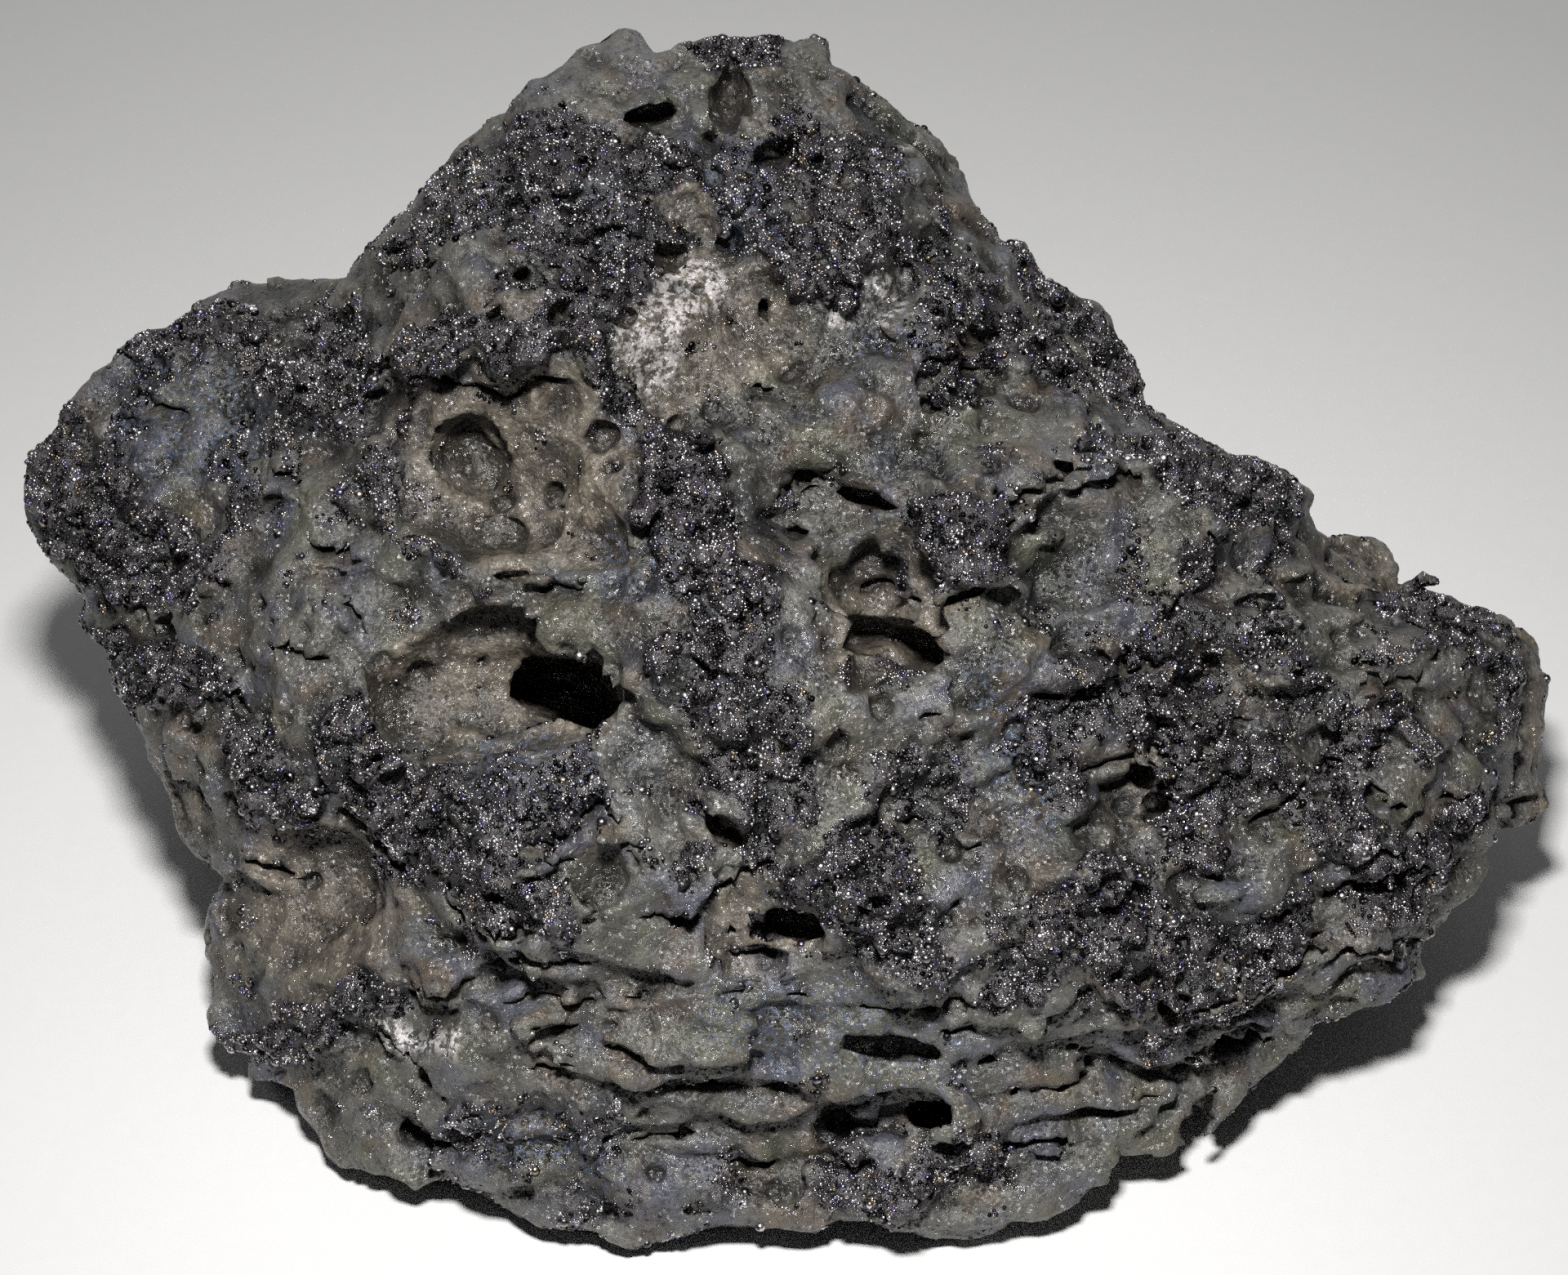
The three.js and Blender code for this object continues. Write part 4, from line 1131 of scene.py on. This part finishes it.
# Beads of the crust: their spacing, least and most half width, rings, sides of a ring and greatest count
BEADS = [
    {"name": "large", "spacing": 1.3, "widths": (0.2, 0.36), "rings": 3, "sides": 8, "limit": 1500},
    {"name": "middling", "spacing": 0.48, "widths": (0.14, 0.21), "rings": 2, "sides": 5, "limit": 14000},
    {"name": "small", "spacing": 0.3, "widths": (0.08, 0.14), "rings": 2, "sides": 5, "limit": 34000},
]
MOST_TRIANGLES = 190000  # in one piece
BEAD_HEIGHT = 0.75  # share of a bead's half width
BEAD_DRAWS = 14  # places tried for each square whose side is a bead's spacing
SMALL_SHARE = 1.5  # power of a chance from 0 to 1: over 1 for more small beads than large ones
BEAD_SPREAD = math.radians(115)  # from a bead's top to its lowest ring
CRUST_BEADED = (0.35, 0.6)  # shares of crust at which the beads begin and are full
BARE_BEADED = (0.3, 0.6)  # how bare a blob is where its beads thin out and where few are left
BARE_LOSS = 0.9  # share of the beads that a bare blob lacks
HEIGHT_BEADED = (0.12, 0.45)  # how far up a blob the beads begin and are full
RAGGED_SIZE = 0.9
RAGGED_EDGE = 0.35  # how much chance moves the edge of the beads
BOX_ORIGIN = 1000  # keeps the numbers of boxes positive
BOX_ROW = 4000  # more than the boxes along any axis
LOWEST_BEAD = 0.3  # middle of a bead above the ground
GROUND_GAP = 0.02  # between the beads and the ground


def scattered(mesh, per_mm, random):
    """Chance places on the rock, with a function that reads the vertices' values at them."""
    mesh.calc_loop_triangles()
    triangles = np.empty(len(mesh.loop_triangles) * 3, np.int32)
    mesh.loop_triangles.foreach_get("vertices", triangles)
    triangles = triangles.reshape(-1, 3)
    points = read_points(mesh)
    a, b, c = (points[triangles[:, k]] for k in range(3))
    areas = np.linalg.norm(np.cross(b - a, c - a), axis=1) / 2
    corner = triangles[random.choice(len(triangles), int(areas.sum() * per_mm), p=areas / areas.sum())]
    share = random.random((2, len(corner))).astype(np.float32)
    u, v = np.where(share.sum(axis=0) > 1, 1 - share, share)
    weights = (1 - u - v, u, v)

    def between(values):
        shaped = [weight[:, None] if values.ndim > 1 else weight for weight in weights]
        return sum(values[corner[:, k]] * shaped[k] for k in range(3))

    return between(points), between


def bead_places(mesh, kind, random):
    """Places, normals and half widths of the beads of one kind, first of all those that the view sees."""
    spots, between = scattered(mesh, BEAD_DRAWS / kind["spacing"] ** 2, random)
    ups = between(read_points(mesh, normals=True))
    ups /= np.linalg.norm(ups, axis=1, keepdims=True)
    names = ("crust", "bare", "height", "seen")
    crust, bare, height, seen = (between(get_values(mesh, name)) for name in names)
    broken = crust + RAGGED_EDGE * noise_at(spots, RAGGED_SIZE, SEED + RAGGED_SEED)
    wanted = smoothstep(*CRUST_BEADED, broken) * (1 - BARE_LOSS * smoothstep(*BARE_BEADED, bare))
    wanted = wanted * smoothstep(*HEIGHT_BEADED, height)
    kept = (random.random(len(wanted)) < wanted) & (spots[:, 2] > LOWEST_BEAD)
    spots, ups, seen = spots[kept], ups[kept], seen[kept]
    box = np.floor(spots / kind["spacing"] + BOX_ORIGIN).astype(np.int64)
    first = np.unique((box[:, 0] * BOX_ROW + box[:, 1]) * BOX_ROW + box[:, 2], return_index=True)[1]
    first = random.permutation(first)
    first = first[np.argsort(seen[first] < 0.5, kind="stable")][:kind["limit"]]
    least, most = kind["widths"]
    sizes = least + (most - least) * random.random(len(first)) ** SMALL_SHARE
    return spots[first], ups[first], sizes.astype(np.float32)[:, None]


def bead_mesh(name, kind, spots, ups, sizes, random):
    """Domes joined into one mesh."""
    across = np.cross(ups, random.normal(size=ups.shape))
    across /= np.linalg.norm(across, axis=1, keepdims=True)
    along = np.cross(ups, across)
    sides, rings = kind["sides"], kind["rings"]
    rows = [spots + ups * sizes * BEAD_HEIGHT]
    for ring in range(rings):
        lowering = BEAD_SPREAD * (ring + 1) / rings
        for k in range(sides):
            angle = 2 * math.pi * (k + ring / 2) / sides
            out = across * math.cos(angle) + along * math.sin(angle)
            rows.append(spots + (ups * (BEAD_HEIGHT * math.cos(lowering)) + out * math.sin(lowering)) * sizes)
    corners = np.stack(rows, axis=1)
    corners[..., 2] = np.maximum(corners[..., 2], GROUND_GAP)
    faces = []
    for k in range(sides):
        after = (k + 1) % sides
        faces.append((0, 1 + k, 1 + after))
        for ring in range(rings - 1):
            upper, lower = 1 + ring * sides, 1 + (ring + 1) * sides
            faces += [(upper + k, lower + k, upper + after), (upper + after, lower + k, lower + after)]
    every = np.array(faces)[None] + (np.arange(len(spots)) * corners.shape[1])[:, None, None]
    return mesh_of(name, corners.reshape(-1, 3), every.reshape(-1, 3))


def bead_pieces(rock):
    """Every kind of bead, in as many pieces as the limit of triangles asks for."""
    random = np.random.default_rng(SEED + BEAD_SEED)
    pieces = []
    for kind in BEADS:
        spots, ups, sizes = bead_places(rock.data, kind, random)
        triangles = kind["sides"] * (2 * kind["rings"] - 1)
        in_piece = MOST_TRIANGLES // triangles
        for number, start in enumerate(range(0, len(spots), in_piece)):
            part = slice(start, start + in_piece)
            name = f"{kind['name']}_beads_{number + 1}"
            pieces.append(bead_mesh(name, kind, spots[part], ups[part], sizes[part], random))
    return pieces


# Materials


# Colours, from 0 to 1 in each of red, green and blue
DARK_SKIN = (0.04, 0.04, 0.038)
GREY_SKIN = (0.09, 0.088, 0.08)
PALE_SKIN = (0.13, 0.126, 0.112)
BROWN_TINT = (0.085, 0.06, 0.042)
VIOLET_TINT = (0.062, 0.066, 0.092)
OLIVE_TINT = (0.082, 0.082, 0.058)
DARK_TAN = (0.078, 0.064, 0.05)
PALE_TAN = (0.21, 0.178, 0.138)
SILVER = (0.5, 0.475, 0.47)
# Painted shade in the gaps between the crust's blobs
PAINTED_GAP_SHADE = (0.003, 0.003, 0.003)
BLOB_BLACK = (0.022, 0.018, 0.022)
# Painted shade in the pits, at the low points of the fine bump
PAINTED_PIT_SHADE = (0.004, 0.004, 0.004)
BLUE_SHEEN = (0.12, 0.15, 0.23)
DARK_BEAD = (0.012, 0.011, 0.013)
BRIGHT_BEAD = (1.0, 0.96, 0.99)
VIOLET_BEAD = (0.24, 0.22, 0.36)
BRONZE_BEAD = (0.36, 0.3, 0.23)
BOARD = (0.77, 0.77, 0.77)
PALE_BOARD = (0.81, 0.81, 0.81)
SKIN_TINTS = ((3.1, BROWN_TINT), (3.7, VIOLET_TINT), (4.3, OLIVE_TINT))  # each with the size of its clouds
BEAD_TINTS = ((1, 0.95, VIOLET_BEAD), (2, 0.96, BRONZE_BEAD))  # each with its chance's part and least value

# Noise of the skin and the beads: size in millimetres, detail and roughness
CLOUDS = (5.0, 6.0)
PATCHES = (1.3, 6.0, 0.62)
SPECKLES = (0.5, 4.0, 0.7)
RAGS = (0.9, 4.0, 0.65)
SATIN_SPOTS = (2.2, 3.0)
CLUMPS = (1.3, 3.0)
GLOSS_SPOTS = (0.6, 2.0)
BEAD_GRAIN = (0.15, 2.0)
BOARD_CLOUDS = (1.2, 4.0)
TINT_DETAIL = 4.0

# Ranges of a value, some with what its ends turn into
CLOUD_TO_GREY = (0.35, 0.65)
PATCH_TO_PALE = (0.45, 0.65, 0.0, 0.7)
CLOUD_TO_TINT = (0.5, 0.64, 0.0, 0.75)
PATCH_TO_TAN = (0.35, 0.62)
SPECKLE_TO_SILVER = (0.47, 0.54)
# Painted shade at the low points of the speckle, which is also the height of the fine bump
SPECKLE_TO_PIT_SHADE = (0.25, 0.5, 0.65, 0.0)
SPECKLE_TO_BLUE = (0.5, 0.62)
RAGS_TO_CRUST = (0.2, 0.5)
# From the painted shade low in a gap to the blob's own black higher up
HEIGHT_TO_BLOB = (0.1, 0.7)
# Painted shade in the hollows, down to a quarter of the colour, and a painted highlight on the ridges, up to
# a third more
RIDGE_TO_PAINTED_LIGHT = (-0.7, 0.7, 0.25, 1.35)
SPOT_TO_SATIN = (0.5, 0.6)
SATIN_TO_ROUGH = (0, 1, 0.46, 0.34)
CLUMP_TO_SHINE = (0.4, 0.6, 0.08, 1.0)
SPOT_TO_GLOSS = (0.3, 0.7, 0.25, 0.4)

SUNK_TAN = 0.75  # the most of the tan in a hole
PATCH_TAN = 0.7
BLUE_SHARE = 0.6
BLUE_METAL = 0.7
RAGGEDNESS = (1.6, -0.8)  # what the noise of the crust's edge is multiplied by, and what is added
LAVA_IOR = 1.75
SPECKLE_BUMP = 0.14
PATCH_BUMP = 0.4
SPARK_SIZE = 0.2
SPARK_CHANCE = 0.62  # the chance of a cell has to be more than this
CRUST_SPARK_LOSS = -0.2
SPARK_TILT = (1.3, 0.1)  # of the tilted cells, and of all cells
SPARK_GLOSS = -0.2
BEAD_CELL = 0.45  # millimetres that share a colour
SHINE_POWER = 1.5  # makes the bright beads rare
BEAD_BUMP = 0.02
BOARD_ROUGHNESS = 0.7


def new_material(name):
    """An empty material with one shader."""
    material = bpy.data.materials.new(name)
    material.use_nodes = True
    material.node_tree.nodes.clear()
    shader = add(material, "ShaderNodeBsdfPrincipled")
    output = add(material, "ShaderNodeOutputMaterial")
    material.node_tree.links.new(shader.outputs[0], output.inputs["Surface"])
    return material, shader


def add(material, kind, **settings):
    """A node of some kind."""
    made = material.node_tree.nodes.new(kind)
    for name, value in settings.items():
        setattr(made, name, value)
    return made


def wire(material, source, target):
    material.node_tree.links.new(source, target)


def coordinates(material):
    return add(material, "ShaderNodeTexCoord").outputs["Object"]


def noise(material, size, detail=3.0, rough=0.55):
    """Cloudy values about 0.5, with features of so many millimetres."""
    made = add(material, "ShaderNodeTexNoise")
    made.inputs["Scale"].default_value = 1 / (size * METRES)
    made.inputs["Detail"].default_value = detail
    made.inputs["Roughness"].default_value = rough
    wire(material, coordinates(material), made.inputs["Vector"])
    return made.outputs["Fac"]


def cells(material, size, output="Distance"):
    """Values of small cells of so many millimetres."""
    made = add(material, "ShaderNodeTexVoronoi")
    made.inputs["Scale"].default_value = 1 / (size * METRES)
    wire(material, coordinates(material), made.inputs["Vector"])
    return made.outputs[output]


def attribute(material, name):
    """A value that the mesh's vertices hold."""
    return add(material, "ShaderNodeAttribute", attribute_name=name).outputs["Fac"]


def remap(material, value, low, high, start=0.0, end=1.0):
    """Goes from start to end while a value goes from low to high."""
    made = add(material, "ShaderNodeMapRange")
    wire(material, value, made.inputs["Value"])
    for name, number in (("From Min", low), ("From Max", high), ("To Min", start), ("To Max", end)):
        made.inputs[name].default_value = number
    return made.outputs["Result"]


def mathematics(material, operation, *values):
    made = add(material, "ShaderNodeMath", operation=operation)
    for socket, value in zip(made.inputs, values):
        if isinstance(value, (int, float)):
            socket.default_value = value
        else:
            wire(material, value, socket)
    return made.outputs[0]


def blend(material, share, first, second, kind="MIX"):
    """First colour where the share is 0 and second where it is 1."""
    made = add(material, "ShaderNodeMix", data_type="RGBA", blend_type=kind)
    colours = [s for s in made.inputs if s.type == "RGBA"]
    for socket, value in zip((made.inputs[0], *colours), (share, first, second)):
        if isinstance(value, tuple):
            socket.default_value = (*value, 1)
        elif isinstance(value, (int, float)):
            socket.default_value = value
        else:
            wire(material, value, socket)
    return next(s for s in made.outputs if s.type == "RGBA")


def bumped(material, height, depth, before=None):
    """The normal of a surface with bumps of so many millimetres."""
    made = add(material, "ShaderNodeBump")
    made.inputs["Distance"].default_value = depth * METRES
    wire(material, height, made.inputs["Height"])
    if before is not None:
        wire(material, before, made.inputs["Normal"])
    return made.outputs["Normal"]


def cell_colours(material, size):
    """A chance colour for each small cell, and its three parts."""
    colour = cells(material, size, "Color")
    parts = add(material, "ShaderNodeSeparateXYZ")
    wire(material, colour, parts.inputs[0])
    return colour, parts.outputs


def facets(material, colour, tilt, normal):
    """Turns the normal of each small cell its own way, which makes a fine sparkle."""
    offset = add(material, "ShaderNodeVectorMath", operation="SUBTRACT")
    wire(material, colour, offset.inputs[0])
    offset.inputs[1].default_value = (0.5, 0.5, 0.5)
    scaled = add(material, "ShaderNodeVectorMath", operation="SCALE")
    wire(material, offset.outputs[0], scaled.inputs[0])
    wire(material, tilt, scaled.inputs["Scale"])
    total = add(material, "ShaderNodeVectorMath", operation="ADD")
    wire(material, normal, total.inputs[0])
    wire(material, scaled.outputs[0], total.inputs[1])
    unit = add(material, "ShaderNodeVectorMath", operation="NORMALIZE")
    wire(material, total.outputs[0], unit.inputs[0])
    return unit.outputs[0]


def skin_colour(material, cloud, patch, speckle):
    """Grey skin, tan in the holes, and silver in places."""
    skin = blend(material, cloud, DARK_SKIN, GREY_SKIN)
    skin = blend(material, remap(material, patch, *PATCH_TO_PALE), skin, PALE_SKIN)
    for size, tint in SKIN_TINTS:
        share = remap(material, noise(material, size, TINT_DETAIL), *CLOUD_TO_TINT)
        skin = blend(material, share, skin, tint)
    tan = blend(material, remap(material, patch, *PATCH_TO_TAN), DARK_TAN, PALE_TAN)
    hollow = mathematics(material, "MULTIPLY", attribute(material, "sunk"), SUNK_TAN)
    skin = blend(material, hollow, skin, tan)
    share = mathematics(material, "MULTIPLY", attribute(material, "tan"), PATCH_TAN)
    skin = blend(material, share, skin, tan)
    flecks = remap(material, speckle, *SPECKLE_TO_SILVER)
    silver = mathematics(material, "MULTIPLY", attribute(material, "silver"), flecks)
    return blend(material, silver, skin, SILVER)


def crust_share(material):
    """How far the rock is crust, with a ragged edge."""
    ragged = mathematics(material, "MULTIPLY_ADD", noise(material, *RAGS), *RAGGEDNESS)
    return remap(material, mathematics(material, "ADD", attribute(material, "crust"), ragged), *RAGS_TO_CRUST)


def sparkling(material, shader, crust, normal):
    """Tips some small cells of the skin out of its plane and makes them glossier than the rest."""
    colour, parts = cell_colours(material, SPARK_SIZE)
    chance = mathematics(material, "MULTIPLY_ADD", crust, CRUST_SPARK_LOSS, parts[2])
    tilted = mathematics(material, "GREATER_THAN", chance, SPARK_CHANCE)
    tilt = mathematics(material, "MULTIPLY_ADD", tilted, *SPARK_TILT)
    wire(material, facets(material, colour, tilt, normal), shader.inputs["Normal"])
    satin = remap(material, noise(material, *SATIN_SPOTS), *SPOT_TO_SATIN)
    rough = remap(material, satin, *SATIN_TO_ROUGH)
    rough = mathematics(material, "MULTIPLY_ADD", tilted, SPARK_GLOSS, rough)
    wire(material, rough, shader.inputs["Roughness"])


def lava_material():
    """Satin grey skin, and black glass where the crust is, with painted shade in the hollows, the pits and
    the crust's gaps and a painted highlight on the ridges.
    """
    material, shader = new_material("lava")
    cloud = remap(material, noise(material, *CLOUDS), *CLOUD_TO_GREY)
    patch = noise(material, *PATCHES)
    speckle = noise(material, *SPECKLES)
    crust = crust_share(material)
    height = attribute(material, "height")
    # Painted shade: the crust turns near black where it lies low between its blobs
    dark = blend(material, remap(material, height, *HEIGHT_TO_BLOB), PAINTED_GAP_SHADE, BLOB_BLACK)
    base = blend(material, crust, skin_colour(material, cloud, patch, speckle), dark)
    # Painted shade in the pits, where the fine bump is lowest
    base = blend(material, remap(material, speckle, *SPECKLE_TO_PIT_SHADE), base, PAINTED_PIT_SHADE)
    # Painted shade in the hollows and a painted highlight on the ridges
    painted_shade_and_ridge_light = remap(material, attribute(material, "painted_shade_and_ridge_light"), *RIDGE_TO_PAINTED_LIGHT)
    base = blend(material, 1.0, base, painted_shade_and_ridge_light, "MULTIPLY")
    blue = attribute(material, "blue")
    blue = mathematics(material, "MULTIPLY", blue, remap(material, speckle, *SPECKLE_TO_BLUE))
    blue = mathematics(material, "MULTIPLY", blue, BLUE_SHARE)
    wire(material, blend(material, blue, base, BLUE_SHEEN), shader.inputs["Base Color"])
    wire(material, mathematics(material, "MULTIPLY", blue, BLUE_METAL), shader.inputs["Metallic"])
    shader.inputs["IOR"].default_value = LAVA_IOR
    normal = bumped(material, speckle, SPECKLE_BUMP, bumped(material, patch, PATCH_BUMP))
    sparkling(material, shader, crust, normal)
    return material


def bead_material(name):
    """Near-black volcanic glass with a metal gloss, violet or bronze on some beads."""
    material, shader = new_material(name)
    parts = cell_colours(material, BEAD_CELL)[1]
    clump = remap(material, noise(material, *CLUMPS), *CLUMP_TO_SHINE)
    shine = mathematics(material, "POWER", parts[0], SHINE_POWER)
    shine = mathematics(material, "MULTIPLY", shine, clump)
    colour = blend(material, shine, DARK_BEAD, BRIGHT_BEAD)
    for part, chance, tint in BEAD_TINTS:
        colour = blend(material, mathematics(material, "GREATER_THAN", parts[part], chance), colour, tint)
    wire(material, colour, shader.inputs["Base Color"])
    gloss = remap(material, noise(material, *GLOSS_SPOTS), *SPOT_TO_GLOSS)
    wire(material, gloss, shader.inputs["Roughness"])
    shader.inputs["Metallic"].default_value = 1
    wire(material, bumped(material, noise(material, *BEAD_GRAIN), BEAD_BUMP), shader.inputs["Normal"])
    return material


def floor_material():
    material, shader = new_material("pale_board")
    colour = blend(material, noise(material, *BOARD_CLOUDS), BOARD, PALE_BOARD)
    wire(material, colour, shader.inputs["Base Color"])
    shader.inputs["Roughness"].default_value = BOARD_ROUGHNESS
    return material


# The stage


FLOOR_EDGE = 2000
ROOM_COLOUR = (0.9, 0.95, 1, 1)
ROOM_STRENGTH = 0.018
SENSOR_WIDTH = 36
CLIP_START = 0.01  # metres
# Places and sizes in millimetres, spread in degrees and power in watts
LIGHTS = [
    {"name": "flash", "stand": ROCK_MIDDLE + TO_EYE * 218 + UP * 98 - RIGHT * 9,
     "target": ROCK_MIDDLE - UP * 32, "size": (36, 24), "spread": 84, "power": 0.178,
     "colour": (1.0, 0.99, 0.97)},
    {"name": "fill", "stand": ROCK_MIDDLE + TO_EYE * 500 + UP * 400, "target": ROCK_MIDDLE,
     "size": (600, 600), "spread": 180, "power": 0.05, "colour": (0.93, 0.96, 1.0)},
    {"name": "back light", "stand": np.array([-60.0, 440.0, 170.0]), "target": ROCK_MIDDLE,
     "size": (1000, 220), "spread": 180, "power": 0.8, "colour": (1.0, 1.0, 1.0)},
]


def make_camera():
    """The view, with its width on the plane through the middle of the rock."""
    data = bpy.data.cameras.new("camera")
    data.sensor_width = SENSOR_WIDTH
    data.lens = data.sensor_width * EYE_DISTANCE / VIEW_WIDTH
    data.clip_start = CLIP_START
    camera = bpy.data.objects.new("camera", data)
    camera.location = (ROCK_MIDDLE + TO_EYE * EYE_DISTANCE) * METRES
    camera.rotation_euler = (math.pi / 2 - EYE_ELEVATION, 0, 0)
    bpy.context.scene.collection.objects.link(camera)
    bpy.context.scene.camera = camera


def aim(thing, target):
    """Turns a light to a place in millimetres."""
    way = mathutils.Vector(target * METRES) - thing.location
    thing.rotation_euler = way.to_track_quat("-Z", "Y").to_euler()


def area_light(name, stand, target, size, spread, power, colour):
    """A rectangular light that the camera doesn't see."""
    data = bpy.data.lights.new(name, "AREA")
    data.shape = "RECTANGLE"
    data.size, data.size_y = (s * METRES for s in size)
    data.spread = math.radians(spread)
    data.energy = power
    data.color = colour
    light = bpy.data.objects.new(name, data)
    light.location = stand * METRES
    light.visible_camera = False
    bpy.context.scene.collection.objects.link(light)
    aim(light, target)


def make_stage():
    """The floor, a small flash above the view, a wide soft light over it and a low soft one from behind."""
    edge = FLOOR_EDGE
    corners = np.array([(-edge, -edge, 0), (edge, -edge, 0), (edge, edge, 0), (-edge, edge, 0)], float)
    floor = mesh_of("floor", corners, np.array([[0, 1, 2, 3]]))
    floor.data.materials.append(floor_material())
    for light in LIGHTS:
        area_light(**light)
    world = bpy.data.worlds.new("room")
    world.use_nodes = True
    background = world.node_tree.nodes["Background"]
    background.inputs["Color"].default_value = ROOM_COLOUR
    background.inputs["Strength"].default_value = ROOM_STRENGTH
    bpy.context.scene.world = world
    bpy.context.scene.view_settings.view_transform = "Standard"


bpy.context.scene.cycles.use_denoising = False
make_camera()
make_stage()
whole, holed = rock_fields()
rock = rock_piece(holed)
mark_zones(rock.data, whole, holed)
rock.data.materials.append(lava_material())
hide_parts("scoria_rock")
beads = bead_pieces(rock)
glass = bead_material("glassy_crust")
for piece in beads:
    piece.data.materials.append(glass)
for piece in (rock, *beads):
    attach(piece, "root")
